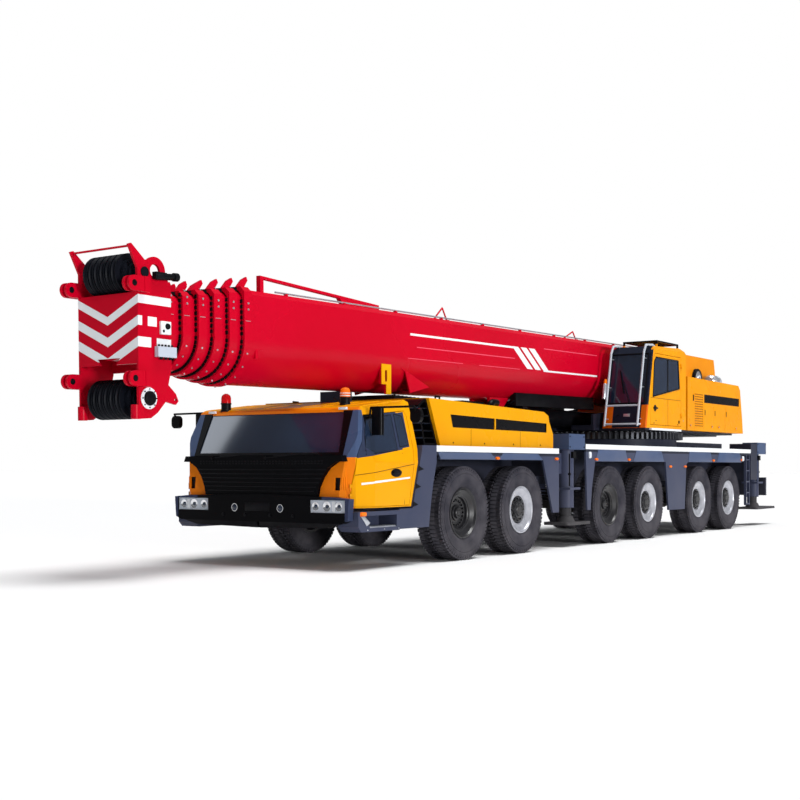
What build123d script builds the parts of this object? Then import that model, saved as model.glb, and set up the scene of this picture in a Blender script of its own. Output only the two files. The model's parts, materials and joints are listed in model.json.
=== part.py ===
from build123d import *
from math import cos, radians, sin, tan
import os

os.makedirs("parts", exist_ok=True)

# Six-axle truck crane, boom down over the cab, outriggers stowed.
# Millimetres, +X to the front, +Y to the left, +Z up, ground at Z = 0 and X = 0 half way along.

# Wheels and axles, front to rear
TYRE_RADIUS = 620
TYRE_WIDTH = 390
RIM_RADIUS = 320
BEAD_GAP = 0.3
WHEEL_Y = 1285
KINGPIN_Y = 1080
SPINDLE_RADIUS = 60
RUNNING_GAP = 0.3
FRONT_AXLE_X = 3900
AXLE_PITCHES = [1550, 2900, 1550, 2320, 1550]
DRIVEN_AXLES = [2, 4, 5, 6]
FIXED_AXLES = [4]

# Carrier frame, decks and side panels
BODY_HALF = 1450
FRAME_HALF = 480
FRAME_BOTTOM = 950
FRAME_TOP = 1500
RAIL_TOP = 1350
RAIL_FLANGE = 120
FRAME_FRONT = 1280
FRAME_REAR = -8260
CAB_FRAME_BOTTOM = 480
CAB_FRAME_TOP = 740
CAB_FRAME_FRONT = 6020
GOOSENECK_REAR = 4400
GOOSENECK_FRONT = 4700
REAR_HUMP_TOP = 1720
REAR_HUMP_FRONT = -4950
FRONT_DECK = (1195, 4550)
FRONT_DECK_TOP = 1500
REAR_DECK = (-7300, 300)
REAR_DECK_TOP = 1580
DECK_PLATE = 20
DECK_EDGE = 120
PANEL_THICKNESS = 30

# Slewing ring, on the frame between axles 4 and 5
SLEW_X = -3500
RING_TEETH = 90
RING_RADIUS = 1400
RING_TOOTH = 55
RING_BORE = 1150
RING_BOTTOM = 1720
RING_TOP = 1840

# Engine and its cover
ENGINE_X = (1500, 3700)
ENGINE_HALF = 340
ENGINE_Z = (1000, 1780)
COVER_SETBACK = 100
COVER_HALF = BODY_HALF - COVER_SETBACK
COVER_WALL = 25

# Carrier cab
CAB_HALF = BODY_HALF - 20
CAB_ROOF_HALF = CAB_HALF - 195
CAB_BELT_Z = 1280
CAB_WALL = 45
CAB_FLOOR = 740
DOOR_GAP = 8
GLASS = 6
GLASS_GAP = 0.3

# Outriggers: name, middle X of the pair, reach of the float behind the jack
OUTRIGGERS = [("front", 600, 500), ("rear", -7980, 890)]
FLOAT_AHEAD = 290
BEAM_WIDTH = 250
BEAM_Z = (1120, 1440)
BEAM_OFFSET = 150
BOX_HALF = BODY_HALF - 360
BEAM_INNER_END = BOX_HALF - 50
BOX_WALL = 34
SLIDE_GAP = 6
PAD_GAP = 0.3
JACK_Y = BODY_HALF - 200
JACK_RADIUS = 130
JACK_BORE = 96
JACK_LEG = 90
JACK_BOTTOM = 600
JACK_TOP = 1490
FLOAT_BOTTOM = 335

# Boom, base section and six telescopes, in its own tilted frame
FOOT_X = -6400
FOOT_Z = 2945
BOOM_DROOP = 0.9
FOOT_PIN_RADIUS = 90
BASE_HALF = 500
BASE_TOP = 540
BELLY_CENTRE = -40
SECTION_STEP = 32
SECTION_WALL = 14
TELESCOPES = 6
BASE_REAR = 350
BASE_FRONT = 13560
COLLAR_PITCH = 215
COLLAR_LENGTH = 130
COLLAR_LIP = 26
HEAD_HALF = 460
HEAD_PLATE = 30
HEAD_REAR = 14650
HEAD_FRONT = 15140

# Luffing cylinder
LUFF_FOOT = (-3900, 2050)
LUFF_EYE = (900, 2090)
BARREL_RADIUS = 150
ROD_RADIUS = 95
ROD_SHOWN = 300
ROD_BURIED = 3900
ROD_FOOT_GAP = 200
LUFF_PIN = 60
LUFF_EYE_HALF = 120
LUFF_LUG_Y = 165
LUFF_LUG_HALF = 25
LUFF_PIN_GAP = 5

# Superstructure
TABLE_BOTTOM = 1860
TABLE_PLATE = 90
PLATFORM = 35
TABLE_HALF = 590
CHEEK_THICKNESS = 45
CHEEK_INNER = 540
OP_CAB_X = (-3790, -1960)
OP_CAB_Y = (660, BODY_HALF)
OP_CAB_WALL = 40
HOUSE_X = (-6790, -3870)
HOUSE_Y = (640, BODY_HALF)

axle_x = [FRONT_AXLE_X]
for pitch in AXLE_PITCHES:
    axle_x.append(axle_x[-1] - pitch)


def save(builder, label):
    builder.part.label = label
    export_step(builder.part, f"parts/{label}.step")


# Bent tube through a few points, with ball corners
def pipe_run(points, radius):
    with BuildPart() as run:
        for start, end in zip(points, points[1:]):
            step = Vector(*end) - Vector(*start)
            with BuildSketch(Plane(start, z_dir=step)):
                Circle(radius)
            extrude(amount=step.length)
            with Locations(end):
                Sphere(radius)
    return run.part


# Wheels: tyre and rim, with a planetary hub on the driven axles
def make_wheel(label, x, side, driven):
    section_plane = Plane((x, side * WHEEL_Y, TYRE_RADIUS), x_dir=(0, side, 0), z_dir=(side, 0, 0))
    spin = Axis((x, side * WHEEL_Y, TYRE_RADIUS), (0, 1, 0))
    tread = TYRE_WIDTH / 2 - 20
    belly = TYRE_WIDTH / 2
    lip = RIM_RADIUS + 15
    barrel = RIM_RADIUS - 20
    seat = RIM_RADIUS + BEAD_GAP
    bead = 150 - BEAD_GAP
    disc_x, disc_r, hub_x, hub_r = (95, 205, 150, 118) if driven else (45, 200, 95, 100)
    with BuildPart() as wheel:
        with BuildSketch(section_plane):
            with BuildLine():
                Polyline(
                    (-bead, seat), (bead, seat), (bead, lip + 8), (180, lip + 45), (belly, 470), (belly - 8, 560),
                    (tread, 612), (0, TYRE_RADIUS), (-tread, 612), (8 - belly, 560), (-belly, 470),
                    (-180, lip + 45), (-bead, lip + 8), close=True,
                )
            make_face()
        revolve(axis=spin)
        with BuildSketch(section_plane):
            with BuildLine():
                Polyline(
                    (20, 0), (hub_x, 0), (hub_x, hub_r), (disc_x, hub_r + 12), (disc_x, disc_r),
                    (150, barrel), (166, lip), (150, lip), (150, RIM_RADIUS),
                    (-150, RIM_RADIUS), (-150, lip), (-166, lip), (-166, barrel),
                    (130, barrel), (disc_x - 16, disc_r), (disc_x - 16, 130), (-60, 130),
                    (-60, SPINDLE_RADIUS + RUNNING_GAP), (20, SPINDLE_RADIUS + RUNNING_GAP), (20, 0),
                )
            make_face()
        revolve(axis=spin)
    save(wheel, label)


# Knuckle: kingpin block with its pin, brake drum and wheel spindle
KINGPIN_RADIUS = 38
KNUCKLE_HALF = 90
FORK_HALF = 150
SPINDLE_TIP = 20
DRUM_RADIUS = 210
DRUM_BACK = 115
DRUM_WIDTH = 40


def spindle(x, side):
    drum_plane = Plane((x, side * (WHEEL_Y - DRUM_BACK), TYRE_RADIUS), x_dir=(1, 0, 0), z_dir=(0, side, 0))
    spindle_plane = Plane((x, side * KINGPIN_Y, TYRE_RADIUS), x_dir=(1, 0, 0), z_dir=(0, side, 0))
    with BuildPart() as stub:
        with BuildSketch(drum_plane):
            Circle(DRUM_RADIUS)
        extrude(amount=DRUM_WIDTH)
        with BuildSketch(spindle_plane):
            Circle(SPINDLE_RADIUS)
        extrude(amount=WHEEL_Y - KINGPIN_Y + SPINDLE_TIP - RUNNING_GAP)
    return stub.part


def make_knuckle(label, x, side):
    stub = spindle(x, side)
    with BuildPart() as knuckle:
        with BuildSketch(Plane((x, side * KINGPIN_Y, TYRE_RADIUS - KNUCKLE_HALF))):
            Circle(85)
        extrude(amount=2 * KNUCKLE_HALF)
        with BuildSketch(Plane((x, side * KINGPIN_Y, TYRE_RADIUS - FORK_HALF))):
            Circle(KINGPIN_RADIUS)
        extrude(amount=2 * FORK_HALF)
        add(stub)
    save(knuckle, label)


for number, x in enumerate(axle_x, start=1):
    for side_name, side in (("left", 1), ("right", -1)):
        make_wheel(f"wheel_{number}_{side_name}", x, side, number in DRIVEN_AXLES)
        if number not in FIXED_AXLES:
            make_knuckle(f"knuckle_{number}_{side_name}", x, side)

# Axle beams: tube, differential on the driven ones, suspension struts up to the frame
BEAM_HALF_HEIGHT = 80
STRUT_Y = 400
FORK_ARM = 55
FORK_EYE = 72
with BuildPart() as axle_beams:
    for number, x in enumerate(axle_x, start=1):
        steered = number not in FIXED_AXLES
        reach = KINGPIN_Y - 130 if steered else KINGPIN_Y
        with BuildSketch(Plane((x, 0, TYRE_RADIUS), x_dir=(0, 1, 0), z_dir=(1, 0, 0))):
            Rectangle(2 * reach, 2 * BEAM_HALF_HEIGHT)
        extrude(amount=75, both=True)
        if number in DRIVEN_AXLES:
            with BuildSketch(Plane((x, 0, TYRE_RADIUS), x_dir=(1, 0, 0), z_dir=(0, 1, 0))):
                Circle(210)
            extrude(amount=120, both=True)
        for side in (1, -1):
            with BuildSketch(Plane((x, side * STRUT_Y, TYRE_RADIUS))):
                Circle(85)
            extrude(amount=FRAME_BOTTOM - TYRE_RADIUS)
            if steered:
                for z in (TYRE_RADIUS - FORK_HALF, TYRE_RADIUS + FORK_HALF - FORK_ARM):
                    with BuildSketch(Plane((x, side * KINGPIN_Y, z))):
                        Circle(FORK_EYE)
                        with Locations((0, side * -110)):
                            Rectangle(2 * FORK_EYE, 220)
                    extrude(amount=FORK_ARM)
                    with BuildSketch(Plane((x, side * KINGPIN_Y, z))):
                        Circle(KINGPIN_RADIUS + RUNNING_GAP)
                    extrude(amount=FORK_ARM, mode=Mode.SUBTRACT)
                with BuildSketch(Plane((x, side * (KINGPIN_Y - 160), TYRE_RADIUS - FORK_HALF))):
                    Rectangle(2 * FORK_EYE, 120)
                extrude(amount=2 * FORK_HALF)
            else:
                add(spindle(x, side))
save(axle_beams, "axle_beams")

# Carrier frame: rear torsion box, front rails, cab frame, engine, outrigger boxes, boom rest, rear lockers
REAR_BUMPER_X = -8340
LOCKER_X = (-7680, -7300)
LOCKER_Z = (960, 1700)
TOW_Z = 800
TOW_PIN = 25
BOOM_REST_X = 4770
REST_GAP = 8


def boom_height(x):
    return FOOT_Z - (x - FOOT_X) * tan(radians(BOOM_DROOP))


boom_underside = boom_height(BOOM_REST_X) + BELLY_CENTRE - BASE_HALF
with BuildPart() as chassis_frame:
    with BuildSketch(Plane.XY.offset(FRAME_BOTTOM)):
        with Locations(((FRAME_FRONT + FRAME_REAR) / 2, 0)):
            Rectangle(FRAME_FRONT - FRAME_REAR, 2 * FRAME_HALF)
    extrude(amount=FRAME_TOP - FRAME_BOTTOM)
    with BuildSketch(Plane.XY.offset(FRAME_TOP)):
        with Locations(((REAR_HUMP_FRONT + FRAME_REAR) / 2, 0)):
            Rectangle(REAR_HUMP_FRONT - FRAME_REAR, 2 * FRAME_HALF)
    extrude(amount=REAR_HUMP_TOP - FRAME_TOP)
    with BuildSketch(Plane.XY.offset(FRAME_BOTTOM)):
        for side in (1, -1):
            with Locations(((FRAME_FRONT + GOOSENECK_FRONT) / 2, side * (FRAME_HALF - RAIL_FLANGE / 2))):
                Rectangle(GOOSENECK_FRONT - FRAME_FRONT, RAIL_FLANGE)
        for x in (1330, 2600, 4300):
            with Locations((x, 0)):
                Rectangle(140, 2 * FRAME_HALF)
    extrude(amount=RAIL_TOP - FRAME_BOTTOM)
    with BuildSketch(Plane.XZ.offset(-FRAME_HALF)):
        with BuildLine():
            Polyline(
                (GOOSENECK_REAR, RAIL_TOP), (GOOSENECK_REAR, FRAME_BOTTOM - 60), (4560, CAB_FRAME_BOTTOM),
                (CAB_FRAME_FRONT, CAB_FRAME_BOTTOM), (CAB_FRAME_FRONT, CAB_FRAME_TOP),
                (GOOSENECK_FRONT, CAB_FRAME_TOP), (GOOSENECK_FRONT, RAIL_TOP), (GOOSENECK_REAR, RAIL_TOP),
            )
        make_face()
    extrude(amount=2 * FRAME_HALF)
    with BuildSketch(Plane.XY.offset(ENGINE_Z[0])):
        with Locations(((ENGINE_X[0] + ENGINE_X[1]) / 2, 0)):
            Rectangle(ENGINE_X[1] - ENGINE_X[0], 2 * ENGINE_HALF)
    extrude(amount=ENGINE_Z[1] - ENGINE_Z[0])
    with BuildSketch(Plane.XY.offset(FRAME_TOP)):
        with Locations((SLEW_X, 0)):
            Circle(RING_RADIUS - RING_TOOTH - 60)
            Circle(RING_BORE, mode=Mode.SUBTRACT)
    extrude(amount=RING_BOTTOM - FRAME_TOP)
    with BuildSketch(Plane.XY.offset(CAB_FRAME_TOP - 20)):
        with Locations((BOOM_REST_X, 0)):
            Rectangle(140, 420)
    extrude(amount=boom_underside - REST_GAP - CAB_FRAME_TOP + 20)
    for name, box_x, float_behind in OUTRIGGERS:
        with BuildSketch(Plane.XZ.offset(-BOX_HALF)):
            with Locations((box_x, (BEAM_Z[0] + BEAM_Z[1]) / 2)):
                Rectangle(2 * BEAM_OFFSET + BEAM_WIDTH + 2 * BOX_WALL, BEAM_Z[1] - BEAM_Z[0] + 2 * BOX_WALL)
        extrude(amount=2 * BOX_HALF)
        for side in (1, -1):
            tunnel_x = box_x + side * BEAM_OFFSET
            with BuildSketch(Plane.XZ.offset(-BOX_HALF)):
                with Locations((tunnel_x, (BEAM_Z[0] + BEAM_Z[1]) / 2)):
                    Rectangle(BEAM_WIDTH + 2 * SLIDE_GAP, BEAM_Z[1] - BEAM_Z[0] + 2 * SLIDE_GAP)
            extrude(amount=2 * BOX_HALF, mode=Mode.SUBTRACT)
            for pad_y in (BOX_HALF - 60, 500, -500):
                with BuildSketch(Plane.XY.offset(BEAM_Z[0] - SLIDE_GAP)):
                    with Locations((tunnel_x, side * pad_y)):
                        Rectangle(BEAM_WIDTH - 40, 100)
                extrude(amount=SLIDE_GAP - PAD_GAP)
    for side in (1, -1):
        with BuildSketch(Plane.XY.offset(LOCKER_Z[0])):
            with Locations(((LOCKER_X[0] + LOCKER_X[1]) / 2, side * (BODY_HALF + BOX_HALF - 90) / 2)):
                Rectangle(LOCKER_X[1] - LOCKER_X[0], BODY_HALF - BOX_HALF + 90)
        extrude(amount=LOCKER_Z[1] - LOCKER_Z[0])
    with BuildSketch(Plane.YZ.offset(REAR_BUMPER_X)):
        with Locations((0, 810)):
            Rectangle(2 * BODY_HALF - 40, 380)
        with Locations((0, 1060)):
            Rectangle(2 * FRAME_HALF, 860)
    extrude(amount=FRAME_REAR - REAR_BUMPER_X)
    with BuildSketch(Plane.XY.offset(TOW_Z - 60)):
        with Locations((REAR_BUMPER_X - 60, 0)):
            Rectangle(200, 180)
        with Locations((REAR_BUMPER_X - 160, 0)):
            Circle(90)
            Circle(TOW_PIN, mode=Mode.SUBTRACT)
    extrude(amount=120)
save(chassis_frame, "chassis_frame")

# Decks: the front one round the engine and rails, the rear one round the ring pedestal and frame
DECK_SLAB = 80
with BuildPart() as decks:
    for rear, front, top in ((*FRONT_DECK, FRONT_DECK_TOP), (*REAR_DECK, REAR_DECK_TOP)):
        with BuildSketch(Plane.XY.offset(top - DECK_SLAB)):
            with Locations(((rear + front) / 2, 0)):
                Rectangle(front - rear, 2 * BODY_HALF)
        extrude(amount=DECK_SLAB)
        with BuildSketch(Plane.XY.offset(top - DECK_EDGE)):
            for side in (1, -1):
                with Locations(((rear + front) / 2, side * (BODY_HALF - DECK_PLATE / 2))):
                    Rectangle(front - rear, DECK_PLATE)
        extrude(amount=DECK_EDGE - DECK_SLAB)
    with BuildSketch(Plane.XY.offset(FRAME_TOP)):
        with Locations((SLEW_X, 0)):
            Circle(RING_RADIUS - RING_TOOTH - 50)
        with Locations(((REAR_HUMP_FRONT + FRAME_REAR) / 2, 0)):
            Rectangle(REAR_HUMP_FRONT - FRAME_REAR + 20, 2 * FRAME_HALF + 20)
    extrude(amount=DECK_SLAB, mode=Mode.SUBTRACT)
    with BuildSketch(Plane.XY.offset(FRONT_DECK_TOP - DECK_SLAB)):
        with Locations(((FRAME_FRONT + ENGINE_X[1] + 60) / 2, 0)):
            Rectangle(ENGINE_X[1] + 60 - FRAME_FRONT + 20, 2 * FRAME_HALF + 20)
    extrude(amount=DECK_SLAB, mode=Mode.SUBTRACT)
    with BuildSketch(Plane.XY.offset(FRONT_DECK_TOP - DECK_SLAB)):
        with Locations(((FRONT_DECK[0] + FRAME_FRONT) / 2, 0)):
            Rectangle(FRAME_FRONT - FRONT_DECK[0], 2 * FRAME_HALF + 20)
    extrude(amount=DECK_SLAB, mode=Mode.SUBTRACT)
save(decks, "decks")

# Side panels: skirt bands, arch legs and the wing ahead of the front axle, as side-view outlines
# Columns: X and Z of each corner in turn
SIDE_PANELS = [
    [(1195, 1380), (1195, 546), (1385, 546), (1696, 1322), (4471, 1322), (4471, 1380)],
    [(300, 1460), (240, 552), (131, 552), (77, 920), (-32, 1310), (-2853, 1310), (-2996, 460), (-3740, 460),
     (-3814, 1266), (-3891, 1310), (-6738, 1310), (-6738, 1460)],
]
WING = [(4878, 1500), (4550, 1500), (4550, 1291), (4639, 979), (4690, 728), (4730, 470), (5380, 470),
        (5380, 715), (5095, 715), (4886, 1440)]
WING_INNER = 900
STEP_BOX = (5380, 6220)
STEP_DEPTH = 300
LADDER_X = (-7285, -7095)
LADDER_Y = BODY_HALF - 45
LADDER_BOTTOM = 440
RUNGS = 5
with BuildPart() as side_panels:
    for side in (1, -1):
        face = Plane((0, side * BODY_HALF, 0), x_dir=(1, 0, 0), z_dir=(0, -1, 0))
        for outline in SIDE_PANELS:
            with BuildSketch(face):
                with BuildLine():
                    Polyline(*outline, close=True)
                make_face()
            extrude(amount=side * PANEL_THICKNESS)
        with BuildSketch(face):
            with BuildLine():
                Polyline(*WING, close=True)
            make_face()
        extrude(amount=side * (BODY_HALF - WING_INNER))
        with BuildSketch(face):
            with BuildLine():
                Polyline(
                    (STEP_BOX[0], 460), (STEP_BOX[0], 700), (STEP_BOX[1], 700), (STEP_BOX[1], 520),
                    (STEP_BOX[1] - 60, 460), close=True,
                )
            make_face()
        extrude(amount=side * STEP_DEPTH)
        with BuildSketch(face):
            with BuildLine():
                Polyline((5440, 505), (5440, 650), (6090, 650), (5990, 505), close=True)
            make_face()
        extrude(amount=side * (STEP_DEPTH - 30), mode=Mode.SUBTRACT)
        for x in LADDER_X:
            with BuildSketch(Plane.XY.offset(LADDER_BOTTOM)):
                with Locations((x, side * LADDER_Y)):
                    Rectangle(28, 50)
            extrude(amount=REAR_DECK_TOP - DECK_SLAB - LADDER_BOTTOM)
        for number in range(RUNGS):
            with BuildSketch(Plane.YZ.offset(LADDER_X[0])):
                with Locations((side * LADDER_Y, LADDER_BOTTOM + 30 + 225 * number)):
                    Rectangle(50, 26)
            extrude(amount=LADDER_X[1] - LADDER_X[0])
save(side_panels, "side_panels")

# Slewing ring with its outer teeth
tooth_angle = 360 / RING_TEETH
root_radius = RING_RADIUS - RING_TOOTH
with BuildPart() as slew_ring:
    with BuildSketch(Plane((SLEW_X, 0, RING_BOTTOM))):
        Circle(root_radius)
        with PolarLocations(root_radius - 5, RING_TEETH):
            Trapezoid(62, RING_TOOTH + 5, 74, align=(Align.CENTER, Align.MIN), rotation=-90)
        Circle(RING_BORE, mode=Mode.SUBTRACT)
    extrude(amount=RING_TOP - RING_BOTTOM)
save(slew_ring, "slew_ring")

# Engine cover: sloping moulded shell with intake slots, a flange at its front, an air duct on top, open below
DUCT = (2130, 800)
DUCT_RADIUS = 55
DUCT_BEND = 90
COVER_SIDE = [(1195, 1500), (1195, 1715), (1317, 1895), (1341, 1985), (1485, 2040), (4611, 2110), (4340, 1500)]
with BuildPart() as cover_void:
    with BuildSketch(Plane.XZ.offset(-COVER_HALF + COVER_WALL)):
        with BuildLine():
            Polyline(*COVER_SIDE, close=True)
        make_face()
        offset(amount=-COVER_WALL, mode=Mode.REPLACE)
    extrude(amount=2 * (COVER_HALF - COVER_WALL))
    with BuildSketch(Plane.XY.offset(FRONT_DECK_TOP)):
        with Locations(((COVER_SIDE[0][0] + COVER_SIDE[-1][0]) / 2, 0)):
            Rectangle(COVER_SIDE[-1][0] - COVER_SIDE[0][0] - 2 * COVER_WALL, 2 * (COVER_HALF - COVER_WALL))
    extrude(amount=COVER_WALL + 5)
with BuildPart() as engine_cover:
    with BuildSketch(Plane.XZ.offset(-COVER_HALF)):
        with BuildLine():
            Polyline(*COVER_SIDE, close=True)
        make_face()
    extrude(amount=2 * COVER_HALF)
    add(cover_void.part, mode=Mode.SUBTRACT)
    for side in (1, -1):
        face = Plane((0, side * COVER_HALF, 0), x_dir=(1, 0, 0), z_dir=(0, -1, 0))
        with BuildSketch(face):
            with BuildLine():
                Polyline((4065, 1915), (1400, 1870), (1400, 1735), (4009, 1746), close=True)
            make_face()
        extrude(amount=side * 12, mode=Mode.SUBTRACT)
        with BuildSketch(face):
            with BuildLine():
                Polyline((2890, 1746), (2890, 1900), (2915, 1900), (2915, 1746), close=True)
            make_face()
        extrude(amount=side * 12)
        with BuildSketch(face):
            with BuildLine():
                Polyline((4611, 2110), (4340, 1500), (4310, 1500), (4571, 2090), close=True)
            make_face()
        extrude(amount=side * -18)
    with BuildSketch(Plane((DUCT[0], DUCT[1], 2035))):
        Circle(DUCT_RADIUS)
    extrude(amount=45)
    with BuildSketch(Plane((DUCT[0], DUCT[1], 2080))):
        Circle(DUCT_RADIUS)
    revolve(axis=Axis((DUCT[0] - DUCT_BEND, DUCT[1], 2080), (0, -1, 0)), revolution_arc=90)
    with BuildSketch(Plane((DUCT[0] - DUCT_BEND, DUCT[1], 2080 + DUCT_BEND), z_dir=(-1, 0, 0))):
        Circle(DUCT_RADIUS)
        Circle(DUCT_RADIUS - 8, mode=Mode.SUBTRACT)
    extrude(amount=110)
save(engine_cover, "engine_cover")

# Carrier cab: side, front and plan outlines cut one body, an inner one hollows it
CAB_SIDE = [(5105, 740), (6250, 740), (6235, 1000), (6190, 1370), (5985, 1920), (5930, 1955), (4990, 2070),
            (4900, 2040), (4900, 1450)]


def cab_plan(inset):
    half = CAB_HALF - inset
    with BuildPart() as plan:
        with BuildSketch(Plane.XY):
            with BuildLine():
                Polyline(
                    (4000, -half), (5860, -half), (6130, -half + 90), (6260 - inset, 250 - CAB_HALF),
                    (6300 - inset, 0), (6260 - inset, CAB_HALF - 250), (6130, half - 90), (5860, half), (4000, half),
                    close=True,
                )
            make_face()
        extrude(amount=3000)
    return plan.part


def cab_form(inset):
    half = CAB_HALF - inset
    roof_half = CAB_ROOF_HALF - inset
    with BuildPart() as form:
        with BuildSketch(Plane.XZ.offset(-CAB_HALF)):
            with BuildLine():
                Polyline(*CAB_SIDE, close=True)
            make_face()
            if inset:
                offset(amount=-inset, mode=Mode.REPLACE)
        extrude(amount=2 * CAB_HALF)
        with BuildSketch(Plane.YZ.offset(4000)):
            with BuildLine():
                Polyline(
                    (-half, 0), (-half, CAB_BELT_Z), (-roof_half, 2080), (roof_half, 2080),
                    (half, CAB_BELT_Z), (half, 0), close=True,
                )
            make_face()
        extrude(amount=3000, mode=Mode.INTERSECT)
        add(cab_plan(inset), mode=Mode.INTERSECT)
    return form.part


def cab_floor(inset, hinge_clearance=0.0):
    with BuildPart() as floor_slab:
        with BuildSketch(Plane.XY.offset(CAB_FLOOR)):
            with Locations(((FLOOR_REAR + FLOOR_FRONT) / 2, 0)):
                Rectangle(FLOOR_FRONT - FLOOR_REAR, 2 * CAB_HALF)
            if hinge_clearance:
                for side in (1, -1):
                    with Locations((DOOR_HINGE[0], side * DOOR_HINGE[1])):
                        Circle(hinge_clearance, mode=Mode.SUBTRACT)
        extrude(amount=CAB_WALL)
        add(cab_plan(inset), mode=Mode.INTERSECT)
        add(cab_outer, mode=Mode.INTERSECT)
    return floor_slab.part


# The door's front edge is bevelled inside, so that it swings past the pillar
def edge_bevel(side):
    hinge = (DOOR_HINGE[0], side * DOOR_HINGE[1], 0)
    with BuildPart() as bevel:
        with BuildSketch(Plane(hinge, x_dir=(1, 0, 0), z_dir=(0, -1, 0))):
            with BuildLine():
                Polyline((0, BEVEL[0][1]), *BEVEL, (0, BEVEL[-1][1]), close=True)
            make_face()
        revolve(axis=Axis(hinge, (0, 0, 1)))
    return bevel.part


DOOR = [(5140, 752), (6175, 752), (6165, 1000), (6110, 1370), (5975, 1700), (5925, 1850), (5035, 1930), (5000, 1860),
        (4990, 1460)]
DOOR_WINDOW = [(6040, 1420), (5950, 1650), (5880, 1790), (5340, 1870), (5340, 1430), (5420, 1380), (5540, 1330)]
QUARTER_WINDOW = [(5280, 1880), (5110, 1860), (5080, 1500), (5280, 1470)]
WINDSHIELD = [(-1130, 1400), (1130, 1400), (1070, 1885), (-1070, 1885)]


def side_prism(outline, side, inset=0.0):
    with BuildPart() as prism:
        with BuildSketch(Plane((0, side * 1600, 0), x_dir=(1, 0, 0), z_dir=(0, -1, 0))):
            with BuildLine():
                Polyline(*outline, close=True)
            make_face()
            if inset:
                offset(amount=-inset, mode=Mode.REPLACE)
        extrude(amount=side * 700)
    return prism.part


def front_prism(outline, inset=0.0):
    with BuildPart() as prism:
        with BuildSketch(Plane.YZ.offset(5600)):
            with BuildLine():
                Polyline(*outline, close=True)
            make_face()
            if inset:
                offset(amount=-inset, mode=Mode.REPLACE)
        extrude(amount=900)
    return prism.part


def window_pane(outline, side):
    with BuildPart() as pane:
        add(glass_outer)
        add(glass_inner, mode=Mode.SUBTRACT)
        add(side_prism(outline, side, GLASS_GAP), mode=Mode.INTERSECT)
    return pane.part


cab_outer = cab_form(0)
cab_inner = cab_form(CAB_WALL)
glass_outer = cab_form(12)
glass_inner = cab_form(12 + GLASS)
HINGE_RADIUS = 11
HINGE_LIFT = 13
HINGE_HALF = 40
HINGE_LEAF = 40
DOOR_HINGE = (6179, CAB_HALF - 130)
DOOR_HINGE_TURN = -50.9
DOOR_HINGE_HEIGHTS = (830, 940)
FLOOR_REAR = 5000
FLOOR_FRONT = 6180
FLOOR_CORNER = 68
# Columns: distance from the hinge's axis, height
BEVEL = [(18, 1000), (64, 1200), (89, 1370), (144, 1500), (163, 1550), (204, 1680)]
OP_HINGE = (-3556, BODY_HALF + HINGE_LIFT)
OP_HINGE_HEIGHTS = (2100, 3000)


def hinge_half(place, side, turn, z, ahead, foot):
    x, y = place
    along = (cos(radians(turn)), side * sin(radians(turn)), 0)
    with BuildPart() as half:
        with BuildSketch(Plane((x, side * y, z), x_dir=along, z_dir=(0, 0, side))):
            with BuildLine():
                Polyline(
                    (0, -HINGE_RADIUS), (0, 0), (ahead * HINGE_LEAF, 0), (ahead * HINGE_LEAF, -HINGE_LIFT - 10),
                    (ahead * foot, -HINGE_LIFT - 10), (ahead * foot, -HINGE_RADIUS), close=True,
                )
            make_face()
            Circle(HINGE_RADIUS)
        extrude(amount=side * HINGE_HALF)
    return half.part


# Cheeks: raised moulding round the lower front corner, each with a square air inlet
CHEEK_LIFT = 25
CHEEK_REAR = 6206
CHEEK_PANEL = [(905, 872), (1260, 872), (1260, 1290), (1175, 1285), (1055, 1210), (975, 1100), (925, 980)]
INLET = (1165, 1025)
INLET_REAR = 6225
with BuildPart() as cheek_skin:
    add(cab_form(-CHEEK_LIFT))
    with BuildSketch(Plane.YZ.offset(CHEEK_REAR)):
        with BuildLine():
            Polyline(*CHEEK_PANEL, close=True)
        make_face()
        mirror(about=Plane.YZ)
    extrude(amount=200, mode=Mode.INTERSECT)
with BuildPart() as carrier_cab_shell:
    add(cab_outer)
    add(cheek_skin.part)
    with BuildSketch(Plane.YZ.offset(INLET_REAR)):
        for side in (1, -1):
            with Locations((side * INLET[0], INLET[1])):
                Rectangle(90, 150)
    extrude(amount=200, mode=Mode.SUBTRACT)
    add(cab_inner, mode=Mode.SUBTRACT)
    add(front_prism(WINDSHIELD), mode=Mode.SUBTRACT)
    for side in (1, -1):
        add(side_prism(DOOR, side), mode=Mode.SUBTRACT)
    add(cab_floor(CAB_WALL + DOOR_GAP, FLOOR_CORNER))
    for side in (1, -1):
        for z in DOOR_HINGE_HEIGHTS:
            add(hinge_half(DOOR_HINGE, side, DOOR_HINGE_TURN, z, 1, 8))
save(carrier_cab_shell, "carrier_cab_shell")

# Mirrors: bent arm from the door's upper frame, a main mirror near the cab and a wide-angle one at its end
MIRROR_FOOT = CAB_ROOF_HALF + 40
MIRROR_X = 5850
MIRROR_Z = 1935
MIRROR_REACH = CAB_HALF + 520


def door_mirror(side):
    with BuildPart() as door_arm:
        add(pipe_run([(MIRROR_X, side * MIRROR_FOOT, 1815), (MIRROR_X, side * (MIRROR_FOOT + 65), 1820),
                      (MIRROR_X, side * (MIRROR_FOOT + 85), MIRROR_Z), (MIRROR_X - 50, side * MIRROR_REACH, MIRROR_Z),
                      (MIRROR_X - 90, side * MIRROR_REACH, MIRROR_Z - 60)], 13))
        with BuildSketch(Plane((MIRROR_X - 30, side * (MIRROR_FOOT + 165), MIRROR_Z - 330))):
            RectangleRounded(80, 150, 30)
        extrude(amount=325)
        with BuildSketch(Plane.YZ.offset(MIRROR_X - 130)):
            with Locations((side * MIRROR_REACH, MIRROR_Z - 105)):
                RectangleRounded(150, 170, 60)
        extrude(amount=60)
    return door_arm.part


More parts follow.
